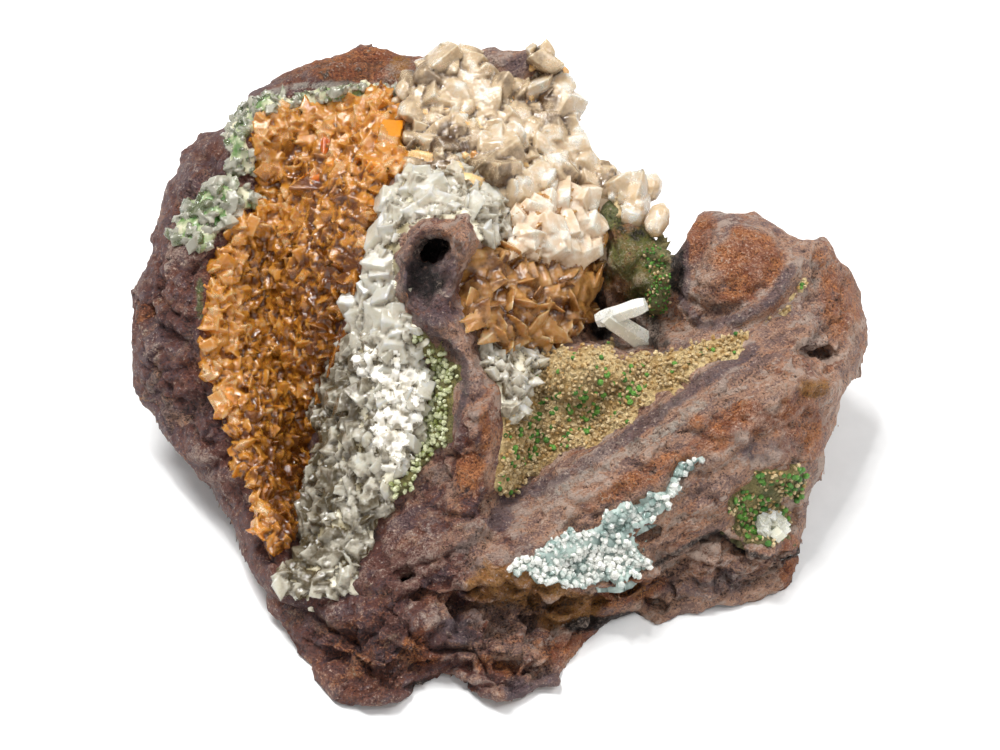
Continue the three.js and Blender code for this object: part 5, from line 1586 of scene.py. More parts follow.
def grow_together(piece: bpy.types.Object, voxel: float) -> None:
    """Joins a piece's overlapping crystals into one closed mesh, which keeps tones and materials. Its tone is
    lowered in crevices and raised on edges: painted shade and painted highlight.

    Args:
        piece: the piece, of closed forms.
        voxel: the side of a voxel, in millimetres.
    """
    mesh = piece.data
    mesh.remesh_voxel_size = voxel * MM
    mesh.use_remesh_preserve_attributes = True
    bpy.context.view_layer.objects.active = piece
    bpy.ops.object.voxel_remesh()
    mesh = piece.data
    mesh.polygons.foreach_set("use_smooth", np.ones(len(mesh.polygons), bool))
    deep = recess(mesh)
    tones = mesh.attributes["tone"].data
    tone = read(tones, "value", 1)[:, 0]
    # Painted shade in the crevices and painted highlight on the edges.
    tone = tone - CREVICE_PAINTED_SHADE * smoothstep(0.03, 0.5, deep) + EDGE_PAINTED_HIGHLIGHT * smoothstep(0.05, 0.5, -deep)
    tones.foreach_set("value", np.clip(tone, *TONE_LIMITS).astype(np.float32))
    LOG.info("%s, grown together: %d faces", piece.name, len(mesh.polygons))


def recess(mesh: bpy.types.Mesh, rounds: int = 14) -> Array:
    """How far each point lies under the mesh's smoothed form, in millimetres: below 0 on a tip."""
    points, normals = read(mesh.vertices, "co", 3), read(mesh.vertex_normals, "vector", 3)
    one, other = read(mesh.edges, "vertices", 2, np.int32).T
    count = len(points)
    share = np.bincount(one, minlength=count) + np.bincount(other, minlength=count)
    even = points
    for _ in range(rounds):
        even = np.stack([(np.bincount(one, axis[other], count) + np.bincount(other, axis[one], count)) / share
                         for axis in even.T], axis=1)
    return ((even - points) * normals).sum(axis=1) / MM


MADE: dict[str, bpy.types.Material] = {}


def material_of(finish: RockFinish | CrystalFinish | DruseFinish) -> bpy.types.Material:
    """The material of a finish, made once."""
    key = repr(finish)
    if key not in MADE:
        MADE[key] = finish.make()
    return MADE[key]


def assemble(name: str, node: str | None, parts: list[tuple], finishes: list) -> bpy.types.Object:
    """Joins batches of points and faces into one piece.

    Args:
        name: the piece's name.
        node: the frame's node that it stands for, if any.
        parts: (points, faces, tones, material number, smooth) of each batch.
        finishes: the finishes, in the order of the material numbers.

    Returns:
        The piece.
    """
    start, faces, slots, smooth = 0, [], [], []
    for points, corners, _, number, rounded in parts:
        faces.append(corners + start)
        slots.append(np.full(len(corners), number))
        smooth.append(np.full(len(corners), rounded))
        start += len(points)
    points = np.concatenate([p[0] for p in parts])
    tones = np.concatenate([p[2] for p in parts])
    mesh = make_mesh(name, points, faces)
    write(mesh, "tone", tones)
    mesh.polygons.foreach_set("material_index", np.concatenate(slots).astype(np.int32))
    mesh.polygons.foreach_set("use_smooth", np.concatenate(smooth))
    made = add_object(mesh, [material_of(finish) for finish in finishes])
    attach(made, "root")
    if node:
        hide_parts(node)
    LOG.info("%s: %d vertices, %d faces", name, len(points), len(mesh.polygons))
    return made


# Tone shifts over the amber hollow: paler on its rim and top; darker deep inside it and low down, which is
# painted shade.
AMBER_SHADES = (
    Shade((-29.4, -17.5), (7.0, 11.0), -0.3, 0.2),
    Shade((-35, -17.5), (2.4, 10.0), 0.3, 0.3),
    Shade((-39.8, 7.7), (4.0, 20.0), 0.6, 0.0),
    Shade((-33.3, 22.4), (6.0, 5.0), 0.4, 0.6),
    Shade((-16.1, 31.5), (3.0, 6.0), 0.5, 0.0),
    Shade((-26.6, 37.4), (12.0, 3.4), 0.6, 0.1),
    Shade((-33.3, 32.9), (4.0, 7.0), 0.5),
    Shade((-23.8, 25.9), (8.0, 4.0), -0.25),
    Shade((-23.1, 9.1), (6.0, 16.0), -0.5, -0.15),
    Shade((-30.1, 14.7), (6.0, 8.0), -0.2),
    Shade((-33.3, -20.3), (2.5, 4.0), 0.3),
    Shade((-30.1, -13.3), (5.0, 11.0), -0.45),
    Shade((-21.7, 32.9), (9.0, 7.0), 0.15),
    Shade((-14.3, 34.3), (3.0, 6.0), 0.4),
)

CREAM_LUMPS = (
    ((-6.7, 38.2), (3.6, 3.4, 2.6), 0.3, 0.6, 0.75),
    ((-6.9, 37.4), (2.2, 1.0, 1.2), 1.5, 1.8, 0.6),
    ((2, 40.2), (1.9, 1.7, 1.5), 0.6, 0.7, 0.65),
    ((8.4, 38.8), (1.6, 1.4, 1.2), 0.2, 0.6, 0.6),
    ((5.2, 32.6), (2.2, 1.9, 1.6), 0.9, 0.9, 0.7),
    ((1.4, 36.1), (1.7, 1.5, 1.4), 0.3, 1.0, 0.35),
    ((5.7, 28.4), (3.3, 1.6, 1.7), 0.1, 1.2, 0.95),
    ((10.9, 28.4), (1.8, 1.6, 1.5), 1.2, 0.9, 0.5),
    ((0.4, 27.3), (2.1, 1.6, 1.5), 0.4, 1.2, 0.45),
    ((14, 28), (1.6, 1.2, 1.3), 0.2, 0.8, 0.5),
    ((20, 25.9), (2.9, 2.4, 2.2), 0.1, 0.8, 0.8),
    ((22, 21.6), (2.5, 2.3, 2.2), 0.7, 0.8, 0.55),
    ((-4.2, 23.8), (1.7, 1.5, 1.4), 0.2, 1.4, 0.85),
    ((-10.6, 36.8), (3.2, 1.2, 1.5), -0.6, 0.9, 0.85),
    ((-14.3, 38.1), (2.5, 1.1, 1.3), -0.1, 0.7, 0.85),
    ((-7.4, 32.6), (2.6, 1.1, 1.4), 1.7, 1.0, 0.6),
    ((-11.9, 29.3), (1.8, 1.0, 1.1), -0.1, 0.7, 0.45),
    ((-8.4, 29.3), (1.6, 1.0, 1.1), -0.2, 0.7, 0.35),
)

TAN_LUMPS = (
    ((-8.3, 42.4), (1.5, 1.3, 1.2), 0.0, 0.8, 0.5),
    ((-5.2, 43), (1.7, 1.1, 1.0), 0.2, 0.6, 0.9),
    ((-2.8, 41), (1.4, 1.1, 1.0), 0.9, 0.6, 0.8),
    ((6.3, 43.8), (2.1, 1.7, 1.4), 1.4, 0.4, 0.9),
    ((8, 42.4), (1.5, 1.3, 1.2), 0.4, 0.3, 0.4),
    ((6.7, 41.3), (1.7, 1.1, 1.1), 0.1, 0.5, 0.6),
    ((-6.4, 28.4), (1.6, 1.2, 1.2), 0.2, 1.0, 0.8),
    ((-11.2, 30.4), (1.8, 1.0, 1.1), 0.2, 0.8, 0.7),
    ((-4.2, 27), (1.8, 1.4, 1.3), -0.4, 1.1, 0.95),
    ((1.4, 37.9), (1.5, 1.2, 1.2), -0.4, 0.9, 0.9),
)

CREAM_LEAVES = (
    ((10.4, 18.6), (8.8, 26.7), 2.9, 2.8, 4.0, 1.0),
    ((7.8, 15.8), (14.8, 18.3), 2.7, 2.8, 3.2, 0.75),
    ((10.1, 19.5), (13.9, 21.6), 1.8, 2.8, 3.2, 0.9),
    ((6.3, 22.3), (1.5, 19.5), 2.8, 2.6, 3.4, 0.7),
    ((6.7, 21.1), (3.1, 23.8), 2.1, 2.4, 3.2, 0.75),
    ((8.4, 20), (7.8, 23.9), 1.7, 2.6, 3.4, 0.8),
    ((6.7, 20.9), (4.2, 17.4), 2.7, 3.0, 4.0, 0.7),
    ((7.8, 20), (6.9, 16.2), 2.5, 3.2, 4.2, 0.75),
    ((9.5, 19.2), (10.6, 16.4), 2.0, 3.4, 4.2, 0.8),
    ((11.5, 21), (12.5, 24.5), 1.7, 2.8, 3.2, 0.9),
    ((3.9, 20.6), (1.1, 15.8), 2.2, 2.2, 3.2, 0.5),
    ((5, 21.4), (1.7, 22.5), 1.8, 2.4, 3.0, 0.8),
)

HONEY_LEAVES = (
    ((5.9, 14.4), (12.9, 13.2), 1.8, 1.6, 2.4, 0.55),
    ((2.8, 9.9), (9.4, 8), 2.4, 1.6, 2.6, 0.45),
    ((3.9, 7.4), (10.4, 4.5), 2.0, 1.2, 2.0, 0.5),
    ((1.7, 8.8), (-6, 7.4), 2.1, 1.4, 1.8, 0.5),
    ((5.3, 12.2), (9.5, 15.8), 2.2, 1.4, 2.2, 0.45),
    ((1.1, 7.4), (-3.4, 4.1), 1.9, 1.2, 1.6, 0.7),
    ((3.4, 6.9), (1.1, 2.9), 1.9, 1.2, 1.8, 0.75),
    ((6.3, 6.6), (6.7, 2.9), 1.7, 1.2, 1.8, 0.7),
    ((5.6, 10.2), (10.4, 10.9), 2.1, 1.8, 2.4, 0.4),
    ((-1.1, 9.7), (-5, 5.7), 1.9, 1.4, 1.8, 0.5),
    ((2.1, 10.5), (6.3, 6.3), 2.2, 2.0, 2.8, 0.4),
)

AMBER_BIG = (
    ((-21.7, 29.3), (3.4, 1.4, 1.6), -0.05, 1.6, 0.5),
    ((-17.5, 29), (2.6, 2.3, 1.8), 1.2, 1.3, 0.25),
    ((-24.4, 31.2), (2.3, 2.0, 1.6), 0.9, 1.3, 0.0),
    ((-16.2, 32.9), (3.8, 2.2, 1.9), 1.1, 1.0, 0.9),
    ((-24.9, 27.3), (3.4, 2.0, 1.8), 0.2, 1.0, 0.3),
    ((-30.7, 32.6), (3.0, 2.0, 1.8), 1.5, 1.0, 0.8),
    ((-19.9, 35.4), (4.4, 3.2, 2.2), 0.5, 0.7, 0.9),
    ((-24.9, 26.2), (5.4, 2.6, 2.2), 0.15, 0.8, 0.15),
    ((-19.6, 25.1), (4.0, 2.2, 2.0), 0.3, 0.8, 0.2),
    ((-29, 20.6), (2.4, 1.9, 1.6), -0.8, 1.5, 0.6),
    ((-24.9, 21.4), (2.8, 2.0, 1.6), -0.6, 1.2, 0.45),
    ((-21.3, 22.3), (3.6, 1.8, 1.7), 0.2, 1.0, 0.35),
    ((-14, 30.1), (2.4, 2.0, 1.6), 0.9, 0.8, 0.6),
    ((-26.6, 35.7), (3.0, 2.0, 1.7), 0.3, 0.8, 0.75),
    ((-21, 6.3), (4.0, 1.2, 1.3), 1.0, 0.9, 0.3),
    ((-22.7, 3.5), (4.2, 1.0, 1.2), 1.15, 1.1, 0.4),
    ((-24.5, -1), (3.8, 1.2, 1.3), 1.1, 0.9, 0.35),
    ((-33, -19.7), (2.8, 1.2, 1.3), 1.9, 1.2, 0.9),
    ((-30.1, -21.7), (2.2, 1.2, 1.3), 1.3, 1.0, 0.6),
)

CLEAR_BIG = (
    ((-10.5, 25.9), (4.2, 2.8, 2.0), 0.1, 0.9, 0.85),
    ((-12.9, 22.3), (3.6, 1.6, 1.7), 0.5, 1.3, 1.0),
    ((-15.7, 24.2), (3.0, 2.2, 1.8), 1.0, 1.0, 0.7),
    ((-16.8, 19.5), (2.8, 2.2, 1.8), 0.9, 1.1, 0.8),
    ((-16.2, 15.5), (3.2, 2.2, 1.9), 0.1, 1.2, 0.6),
    ((-20.4, 10.2), (3.0, 2.6, 2.0), 0.2, 1.2, 0.5),
    ((-16, 8.5), (4.0, 3.2, 2.3), -0.3, 1.2, 0.65),
    ((-19.9, 4.1), (3.2, 2.4, 2.0), 0.9, 1.1, 0.55),
    ((-23.5, -15), (2.8, 2.0, 1.8), 0.4, 1.0, 0.5),
    ((-25.8, -20.6), (3.2, 2.0, 1.7), 1.2, 1.0, 0.7),
    ((-23.8, -25.9), (3.0, 2.1, 1.8), 0.3, 1.0, 0.75),
    ((-3.1, 24.5), (2.2, 1.8, 1.6), 0.5, 1.1, 0.8),
    ((-6.3, 26.5), (2.4, 2.0, 1.7), 0.2, 1.1, 0.85),
)

CRUSTS = (
    Crust("amber_crust", "amber_calcite_lining", "amber_calcite", "amber", AMBER_BED, 1.2, (
        Growth(Habit.RHOMB, AMBER, 2.4, (0.9, 1.5), (0.6, 1.0), (0.5, 0.9), tilt=1.1, skew=0.35, sunk=0.6,
               upper_gain=0.6),
        Growth(Habit.RHOMB, AMBER, 1.7, (0.7, 1.2), (0.7, 1.2), (0.6, 1.0), tilt=1.0, skew=0.3, sunk=0.4,
               upper_gain=0.3),
        Growth(Habit.BLADE, AMBER, 1.8, (0.9, 1.5), (1.0, 1.5), (0.25, 0.45), tilt=1.2, sunk=0.4),
        Placed(Habit.RHOMB, AMBER_HOT, AMBER_BIG[:5]),
        Placed(Habit.RHOMB, AMBER, AMBER_BIG[5:]),
    ), AMBER_SHADES, fused=0.3, seed=1),
    Crust("clear_crust", "clear_calcite_ridge", "clear_calcite", "clear", CLEAR_BED, 1.0, (
        Growth(Habit.RHOMB, CLEAR, 2.8, (1.3, 2.2), (0.6, 1.1), (0.6, 1.0), skew=0.3, sunk=0.5,
               tones=(0.3, 0.9)),
        Growth(Habit.RHOMB, CLEAR, 1.9, (0.7, 1.2), (0.7, 1.2), (0.6, 1.0), skew=0.3, sunk=0.4,
               tones=(0.2, 1.0)),
        Growth(Habit.BLADE, CLEAR, 2.8, (1.0, 1.7), (1.0, 1.5), (0.3, 0.6), tilt=1.1, sunk=0.4),
        Growth(Habit.RHOMB, CHALK, 0.85, (0.5, 0.9), (0.7, 1.2), skew=0.35, sunk=-0.9, within="chalk"),
        Growth(Habit.RHOMB, CHALK, 1.8, (0.8, 1.3), (0.7, 1.2), tilt=0.8, skew=0.35, sunk=0.0,
               within="chalk"),
        Placed(Habit.RHOMB, CLEAR, CLEAR_BIG),
    ), (
        Shade((-24.9, -9.1), (6.0, 16.0), -0.7, -0.2),
        Shade((-26.6, -25.9), (8.0, 7.0), -0.6, 0.0),
        Shade((-18.5, -20.3), (5.0, 8.0), -0.5, 0.0),
        Shade((-11.9, 23.8), (8.0, 5.0), 0.3),
        Shade((-16.8, 11.9), (8.0, 8.0), 0.3),
    ), (Shade((-9.2, 15.8), (3.4, 5.5), 1),), fused=0.3, seed=2),
    Crust("cream_crust", "cream_calcite_crest", "cream_calcite", "crest", CREAM_BED, 1.5, (
        Growth(Habit.BLOCK, CREAM, 4.4, (1.8, 2.8), (0.6, 1.0), (0.7, 1.1), tilt=0.8, skew=0.35, sunk=0.75,
               tones=(0.2, 0.9)),
        Growth(Habit.LUMP, CREAM, 3.2, (1.3, 2.1), (0.6, 1.0), (0.7, 1.1), tilt=0.8, skew=0.35, sunk=0.55,
               tones=(0.2, 0.9)),
        Growth(Habit.RHOMB, CREAM, 2.0, (0.8, 1.4), (0.7, 1.1), skew=0.4, sunk=0.45, tones=(0.1, 0.9)),
        Growth(Habit.BLADE, CREAM, 3.0, (0.9, 1.4), (1.0, 1.5), (0.5, 0.8), tilt=1.1, sunk=0.45,
               tones=(0.3, 1.0)),
        Growth(Habit.GRAIN, TAN, 1.2, (0.3, 0.6), (0.8, 1.2), tilt=0.8, sunk=-0.2, share=0.4),
        Placed(Habit.BALL, CREAM, CREAM_LUMPS, skew=0.25, smooth=True),
        Placed(Habit.BALL, TAN, TAN_LUMPS, skew=0.25, smooth=True),
        Placed(Habit.BLOCK, CREAM, (((10.5, 32.1), (2.4, 1.9, 2.1), 0.1, 1.0, 0.95),), smooth=True),
    ), (
        Shade((-3.1, 38.8), (5.0, 3.4), 0.45),
        Shade((1.4, 35.1), (3.6, 2.4), 0.4, 0.3),
        Shade((9.1, 32.1), (6.0, 4.0), 0.4),
        Shade((5.6, 28.4), (5.0, 2.6), 0.4),
        Shade((19.9, 24.5), (7.0, 6.0), 0.4),
        Shade((6.3, 37.4), (4.0, 3.0), -0.3),
        Shade((-7, 31.5), (9.0, 5.0), -0.3),
        Shade((-11.9, 39.9), (4.0, 4.0), -0.15),
        Shade((12.6, 28), (5.0, 3.0), -0.25),
    ), (Shade((-10.5, 32.9), (2.4, 1.3), 1, -0.6), Shade((-1.3, 33.3), (1.7, 1.0), 1, 0.2)), bed_lumps=0.6,
    fused=0.3, seed=3),
    Crust("honey_crust", "honey_calcite_spray", "honey_calcite", "spray", HONEY, 2.2, (
        Growth(Habit.BLADE, HONEY, 3.2, (1.4, 2.3), (1.0, 1.4), (0.2, 0.35), tilt=1.6, sunk=0.8,
               tones=(0.1, 0.7)),
        Growth(Habit.BLOCK, CREAM_LEAF, 2.6, (1.4, 2.1), (0.7, 1.0), (0.7, 1.0), tilt=1.0, skew=0.3,
               sunk=0.15,
               within="leaves", tones=(0.4, 1.0)),
        Leaves(HONEY, HONEY_LEAVES),
        Leaves(CREAM_LEAF, CREAM_LEAVES),
    ), (
        Shade((7.7, 21), (9.5, 5.5), 0.9),
        Shade((6.3, 6.3), (10.0, 4.0), 0.4),
        Shade((2.1, 14.4), (8.0, 4.0), -0.3),
    ), bed_lumps=1.1, fused=0.28, seed=4),
    Crust("low_clear_crust", "low_clear_crystals", "clear_calcite", "low", CLEAR_BED, 0.7, (
        Growth(Habit.RHOMB, CLEAR, 1.9, (0.7, 1.3), (0.8, 1.3), skew=0.3, sunk=0.2),
        Growth(Habit.BLADE, CLEAR, 2.4, (0.8, 1.3), (1.0, 1.7), (0.4, 0.7), tilt=0.8, sunk=0.2),
    ), fused=0.25, seed=5),
    Crust("hemimorphite_grains", "hemimorphite_crust", "hemimorphite", "hemimorphite", ICE_BED, 0.7, (
        Growth(Habit.GRAIN, ICE_BLUE, 0.62, (0.26, 0.5), (0.8, 1.4), (0.6, 1.0), sunk=0.0),
        Growth(Habit.GRAIN, ICE_BLUE, 1.2, (0.45, 0.7), (0.8, 1.2), sunk=0.0),
    ), (
        Shade((16.1, -19.7), (6.0, 3.0), -0.45, 0.5),
        Shade((14, -25.9), (7.0, 3.0), 0.25, 0.1),
        Shade((25.9, -13.3), (3.0, 2.0), -0.3),
    ), bed_lumps=0.25, edge=0.7, seed=6),
    Crust("green_rim_crust", "green_rim_crystals", "green_glassy_crystal", "rim_lower", GREEN_BED, 0.8, (
        Growth(Habit.RHOMB, GREEN_GLASS, 2.2, (0.9, 1.7), (0.5, 0.9), (0.6, 1.0), tilt=0.8, skew=0.35,
               sunk=0.6),
        Growth(Habit.BLADE, GREEN_GLASS, 1.9, (0.6, 1.1), (0.8, 1.2), (0.4, 0.7), tilt=1.2, sunk=0.5),
    ), (
        Shade((-41.3, 24.5), (3.0, 2.0), -0.4),
        Shade((-37.8, 22.4), (3.0, 3.0), 0.3),
    ), bed_lumps=0.5, edge=0.8, fused=0.25, seed=7),
    Crust("pale_rim_crust", "pale_rim_crystals", "green_glassy_crystal", "rim_upper", GREEN_BED, 0.5, (
        Growth(Habit.RHOMB, GREEN_GLASS, 1.9, (0.6, 1.1), (0.5, 0.9), (0.6, 1.0), skew=0.35, sunk=0.6),
        Growth(Habit.GRAIN, GREEN_GLASS, 1.1, (0.25, 0.5), (0.8, 1.2), sunk=0.2),
    ), (
        Shade((-36.7, 33.6), (2.0, 4.0), -0.3),
    ), edge=0.8, fused=0.25, seed=8),
    Crust("olive_grains", "olive_druse", "olive_druse", "olive", OLIVE_BED, 0.6, (
        Growth(Habit.GRAIN, OLIVE, 0.75, (0.3, 0.55), (0.8, 1.2), sunk=0.0),
    ), edge=0.8, seed=9),
    Crust("ochre_grains", "ochre_druse", "ochre_druse", "ochre", OCHRE_BED, 0.4, (
        Growth(Habit.GRAIN, OCHRE_GRAIN, 0.45, (0.22, 0.38), (0.8, 1.3), (0.6, 1.0), tilt=1.0, sunk=-0.5,
               share=0.9),
        Growth(Habit.BALL, LEAF_GREEN, 1.1, (0.3, 0.5), (0.7, 0.9), tilt=0.2, skew=0.1, sunk=-0.2, share=0.5,
               within="spherules", smooth=True),
        Growth(Habit.BALL, LEAF_GREEN, 2.2, (0.25, 0.4), (0.7, 0.9), tilt=0.2, skew=0.1, sunk=-0.2, share=0.3,
               smooth=True),
    ), bed_lumps=0.3, edge=0.8, seed=10),
    Crust("green_grains", "green_druse", "green_druse", "side_druse", MOSS_BED, 0.4, (
        Growth(Habit.GRAIN, OCHRE_GRAIN, 0.6, (0.22, 0.38), (0.8, 1.3), (0.6, 1.0), tilt=1.0, sunk=0.0,
               share=0.6),
        Growth(Habit.BALL, LEAF_GREEN, 0.9, (0.3, 0.5), (0.7, 0.9), tilt=0.2, skew=0.1, sunk=0.0, share=0.4,
               smooth=True),
        Growth(Habit.RHOMB, MILK, 1.1, (0.7, 1.2), (0.8, 1.2), skew=0.2, sunk=-0.2, within="milk_blob"),
    ), edge=0.8, seed=11),
    Crust("boulder_moss", None, "green_druse", "boulder_moss_patch", MOSS_BED, 0.1, (
        Growth(Habit.GRAIN, LEAF_GREEN, 0.45, (0.16, 0.3), (0.8, 1.3), tilt=1.0, sunk=-0.2, share=0.8),
        Growth(Habit.GRAIN, OCHRE_GRAIN, 0.5, (0.16, 0.3), (0.8, 1.3), tilt=1.0, sunk=-0.2, share=0.35),
    ), edge=0.8, seed=12),
)


@dataclass
class PrismPair:
    """The two milky prisms that cross in the pocket, each from its foot to its tip as (a, b, w)."""

    feet: tuple[tuple[float, float, float], ...] = ((21.6, 3.8, -5.0), (13.6, 7.6, -1.0))
    tips: tuple[tuple[float, float, float], ...] = ((14.8, 8.3, 0.5), (20.4, 9.9, 1.8))
    radii: tuple[float, ...] = (1.7, 1.4)
    flat: float = 0.8
    rings: int = 9

    def build(self) -> bpy.types.Object:
        """Makes the pair: radius (1 - small waves), drawn in over the last rings, six sides.

        Returns:
            The piece, which stands for its node.
        """
        parts = []
        for number, (foot, tip, radius) in enumerate(zip(self.feet, self.tips, self.radii)):
            start, end = (EYE.place(*(np.array(v) for v in p)) for p in (foot, tip))
            along = unit(end - start)
            first = unit(np.cross(along, EYE.axes[2]))
            second = np.cross(along, first)
            share = np.linspace(0, 1, self.rings)
            width = radius * np.minimum(1, 0.72 + 1.6 * np.minimum(share, 1 - share))
            angle = (np.arange(6) + 0.5) * math.pi / 3
            u = width[:, None] * np.cos(angle) * (1 + 0.05 * np.sin(7 * share + number))[:, None]
            v = width[:, None] * np.sin(angle) * self.flat
            rows = start + (end - start) * share[:, None, None]
            rows = rows + u[..., None] * first + v[..., None] * second
            points = np.concatenate([rows.reshape(-1, 3), [start], [end]])
            here, after = np.arange(6), (np.arange(6) + 1) % 6
            quads = np.concatenate([6 * ring + np.stack([here, after, 6 + after, 6 + here], axis=1)
                                    for ring in range(self.rings - 1)])
            sides = np.concatenate([quads[:, [0, 1, 2]], quads[:, [0, 2, 3]]])
            low = np.stack([after, here, np.full(6, len(points) - 2)], axis=1)
            top = (self.rings - 1) * 6
            high = np.stack([top + here, top + after, np.full(6, len(points) - 1)], axis=1)
            faces = np.concatenate([sides, low, high])
            parts.append((points, faces, np.full(len(points), 0.5 + 0.3 * number), 0, False))
        return assemble("milky_prisms", "milky_prism_pair", parts, [MILK])


@dataclass
class Rock:
    """The rock that carries everything: its grid surface, remeshed, weathered and coloured."""

    face: RockFace
    voxel: float = 0.45
    faces_at_most: int = 188000
    bedding: tuple[float, float, float] = (-0.5, 0.14, 0.85)
    flaking: tuple[float, float, float] = (-0.1, 0.21, 0.92)

    def build(self) -> bpy.types.Object:
        """Makes the rock.

        Returns:
            The piece, which stands for its node.
        """
        points, quads, normals = self.even_mesh()
        shift = self.weathering(points, normals)
        moved = points + shift[:, None] * normals
        moved[:, 2] = np.maximum(moved[:, 2], 0)
        mesh = make_mesh("rock_draft", moved, [quads], True)
        # high is how far weathering moved each point out; the material paints shade into the low places and
        # highlight onto the raised ones.
        write(mesh, "high", 0.5 + 0.35 * np.clip(shift, -1.0, 1.2))
        draft = add_object(mesh, [])
        thin = draft.modifiers.new("thin", "DECIMATE")
        thin.ratio = min(1.0, self.faces_at_most / (2 * len(quads)))
        done = applied(draft)
        done.name = "rock"
        self.stain_and_shade(done)
        done.polygons.foreach_set("use_smooth", np.ones(len(done.polygons), bool))
        made = add_object(done, [material_of(RockFinish())])
        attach(made, "root")
        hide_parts("limonite_matrix")
        LOG.info("rock: %d vertices, %d faces", len(done.vertices), len(done.polygons))
        return made

    def even_mesh(self) -> tuple[Array, Array, Array]:
        """The closed grid surface, remeshed with even faces: points, faces and normals."""
        face = self.face
        shell = closed_sheet(face.inside >= 0, face.points, EYE.place(face.a, face.b, face.back))
        draft = add_object(make_mesh("rock_shell", shell[0], [shell[1]]), [])
        remesh = draft.modifiers.new("even", "REMESH")
        remesh.mode = "VOXEL"
        remesh.voxel_size = self.voxel * MM
        relax = draft.modifiers.new("relax", "SMOOTH")
        relax.factor, relax.iterations = 0.5, 2
        even = applied(draft)
        corners = read(even.loops, "vertex_index", 1, np.int32).reshape(-1, 4)
        return read(even.vertices, "co", 3) / MM, corners, read(even.vertex_normals, "vector", 3)

    def weathering(self, points: Array, normals: Array) -> Array:
        """How far each point moves out: chips of two sizes, thin layers and grit, calm under crusts."""
        a, b, _ = EYE.face_of(points)
        front = smoothstep(-0.1, 0.3, normals @ EYE.axes[2])
        crust = np.zeros(len(points))
        for outline in REGIONS.values():
            crust = np.maximum(crust, smoothstep(-1.4, 0.3, inside_depth(outline, a, b)))
        wall = np.min([line_distance(np.array(r.line), a, b)[0] for r in RELIEFS[:3]], axis=0)
        calm = (1 - 0.85 * crust * front) * (1 - 0.6 * front * smoothstep(3.0, 1.0, wall))
        calm = calm * (0.2 + 0.8 * smoothstep(0.3, 3.5, inside_depth(OUTLINE, a, b)))
        craggy = smoothstep(2.0, -6.0, b + 26.0 - 0.12 * (a - 10.0)) * front
        even = 1 - 0.4 * front * (1 - craggy) * smoothstep(-28.0, 8.0, a + 0.25 * b)
        bent = points + 0.7 * np.stack([fractal(points, 4.0, 3, 40 + n) for n in range(3)], axis=1)
        bedding, flaking = unit(np.array(self.bedding)), unit(np.array(self.flaking))
        shift = even * (1.6 * chips(bent, 10.0, 1) + 0.9 * chips(bent, 4.4, 2)) + 0.35 * chips(bent, 1.9, 3)
        shift += 0.7 * (1 - craggy) * layers(bent, bedding, 1.9, 4)
        shift += craggy * (1.5 * layers(bent, flaking, 2.1, 8) + 0.8 * layers(bent, flaking, 0.9, 9))
        shift -= even * (0.8 + 0.9 * craggy) * cracks(bent, 11.0, flaking, 2.2, 6)
        shift -= even * (0.3 + 0.4 * craggy) * cracks(bent, 4.0, bedding, 1.8, 7)
        shift += 0.36 * fractal(points, 1.3, 2, 5)
        rim = 0.5 * front * smoothstep(3.0, 1.0, wall)
        return calm * (shift + 0.1) + rim * (fractal(points, 1.7, 3, 11) + 0.8 * chips(points, 1.5, 12) - 0.3)

    def stain_and_shade(self, mesh: bpy.types.Mesh) -> None:
        """Gives the mesh the numbers that its material reads."""
        points = read(mesh.vertices, "co", 3) / MM
        a, b, _ = EYE.face_of(points)
        front = smoothstep(-0.25, 0.15, read(mesh.vertex_normals, "vector", 3) @ EYE.axes[2])
        behind = 1 - front
        far = fractal(points, 12.0, 3, 60)
        unseen = {Tint.RUST: smoothstep(0.1, 0.7, far), Tint.OCHRE: 0.8 * smoothstep(0.2, 0.8, -far)}
        for tint, stains_and_shade in STAINS_AND_SHADE.items():
            cover = np.max([stain_and_shade.cover(a, b) for stain_and_shade in stains_and_shade], axis=0)
            cover = np.maximum(cover, 0) * front + behind * unseen.get(tint, np.zeros(len(points)))
            write(mesh, tint.value, cover)
        write(mesh, "warm", front * smoothstep(-28.0, 8.0, a + 0.25 * b) + 0.5 * behind)


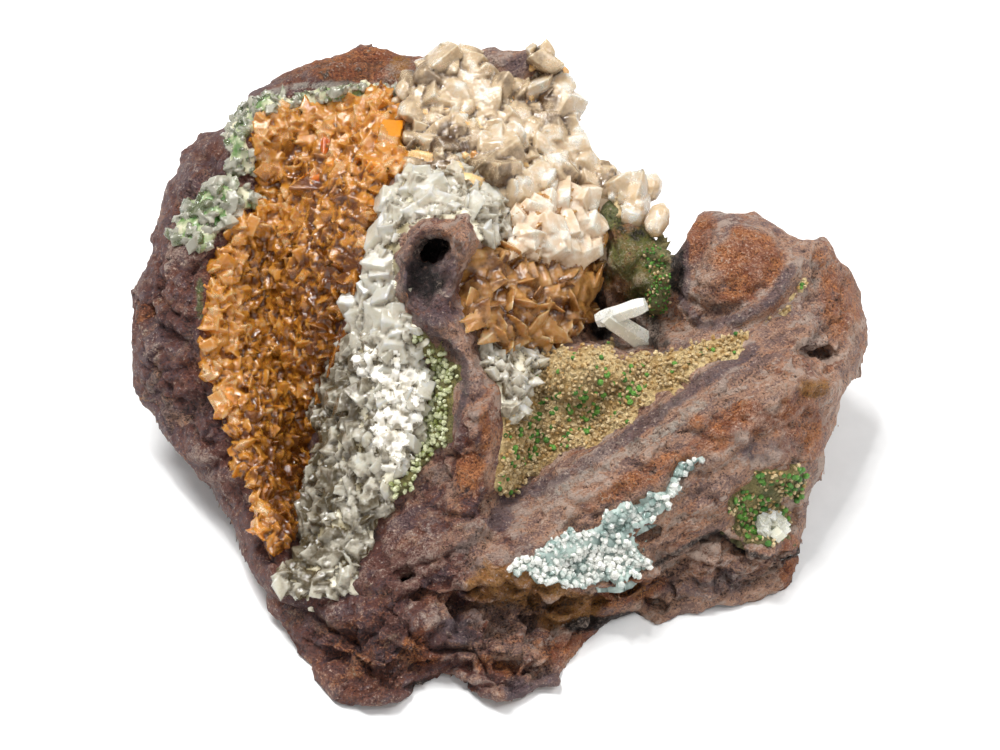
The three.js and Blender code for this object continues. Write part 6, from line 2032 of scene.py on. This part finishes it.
@dataclass
class Studio:
    """A pale floor, soft lamps and the camera of the photograph's eye."""

    floor_half: float = 3.0
    lamps: tuple[tuple[tuple[float, float, float], float, float], ...] = (
        ((-0.22, 0.18, 0.75), 0.30, 6.0),
        ((0.50, 0.10, 0.55), 0.35, 2.0),
        ((0.05, -0.75, 0.45), 0.40, 0.9),
        ((-0.10, 0.02, 0.80), 0.05, 1.2),
        ((0.16, -0.30, 0.70), 0.03, 0.7),
    )

    def build(self) -> None:
        """Makes the floor, the lamps, the sky and the camera."""
        self.floor()
        for number, (at, size, power) in enumerate(self.lamps):
            lamp = bpy.data.lights.new(f"lamp_{number}", "AREA")
            lamp.size, lamp.energy = size, power
            made = bpy.data.objects.new(lamp.name, lamp)
            made.location = at
            made.rotation_euler = (Vector((0, 0, 0.02)) - Vector(at)).to_track_quat("-Z", "Y").to_euler()
            bpy.context.scene.collection.objects.link(made)
        world = bpy.data.worlds.new("sky")
        world.use_nodes = True
        sky = world.node_tree.nodes["Background"]
        sky.inputs["Color"].default_value = (0.95, 0.97, 1.0, 1.0)
        sky.inputs["Strength"].default_value = 0.4
        bpy.context.scene.world = world
        bpy.context.scene.view_settings.view_transform = "Standard"
        self.camera()

    def floor(self) -> None:
        """A pale floor with its grain, just under the rock."""
        half = self.floor_half / MM
        corners = np.array([[-half, -half, -0.05], [half, -half, -0.05], [half, half, -0.05],
                            [-half, half, -0.05]])
        board = Board("pale_floor")
        grain = board.noise(4.0, 2.0)
        colour = board.mix(grain, "f4f4f3", "f8f8f7")
        floor = add_object(make_mesh("floor", corners, [np.array([[0, 1, 2, 3]])]),
                           [board.finish({"Base Color": colour, "Roughness": 0.85})])

    def camera(self) -> None:
        """A camera at the eye, whose picture is picture_width wide at the face plane."""
        lens = bpy.data.cameras.new("camera")
        lens.sensor_width = EYE.sensor_mm
        lens.lens = EYE.sensor_mm * EYE.distance / EYE.picture_width
        lens.clip_start, lens.clip_end = 0.01, 20
        made = bpy.data.objects.new("camera", lens)
        right, up, towards = EYE.axes
        at = (np.array(EYE.middle) + EYE.distance * towards) * MM
        turn = Matrix(np.stack([right, up, towards], axis=1).tolist())
        made.matrix_world = Matrix.Translation(at) @ turn.to_4x4()
        bpy.context.scene.collection.objects.link(made)
        bpy.context.scene.camera = made


def main() -> None:
    """Builds the specimen and the studio, in order."""
    logging.basicConfig(level=logging.INFO, format="%(name)s %(message)s", stream=sys.stdout)
    face = RockFace()
    LOG.info("face grid %s", face.a.shape)
    Rock(face).build()
    for crust in CRUSTS:
        crust.build(face)
    PrismPair().build()
    Studio().build()


if __name__ == "__main__":
    main()
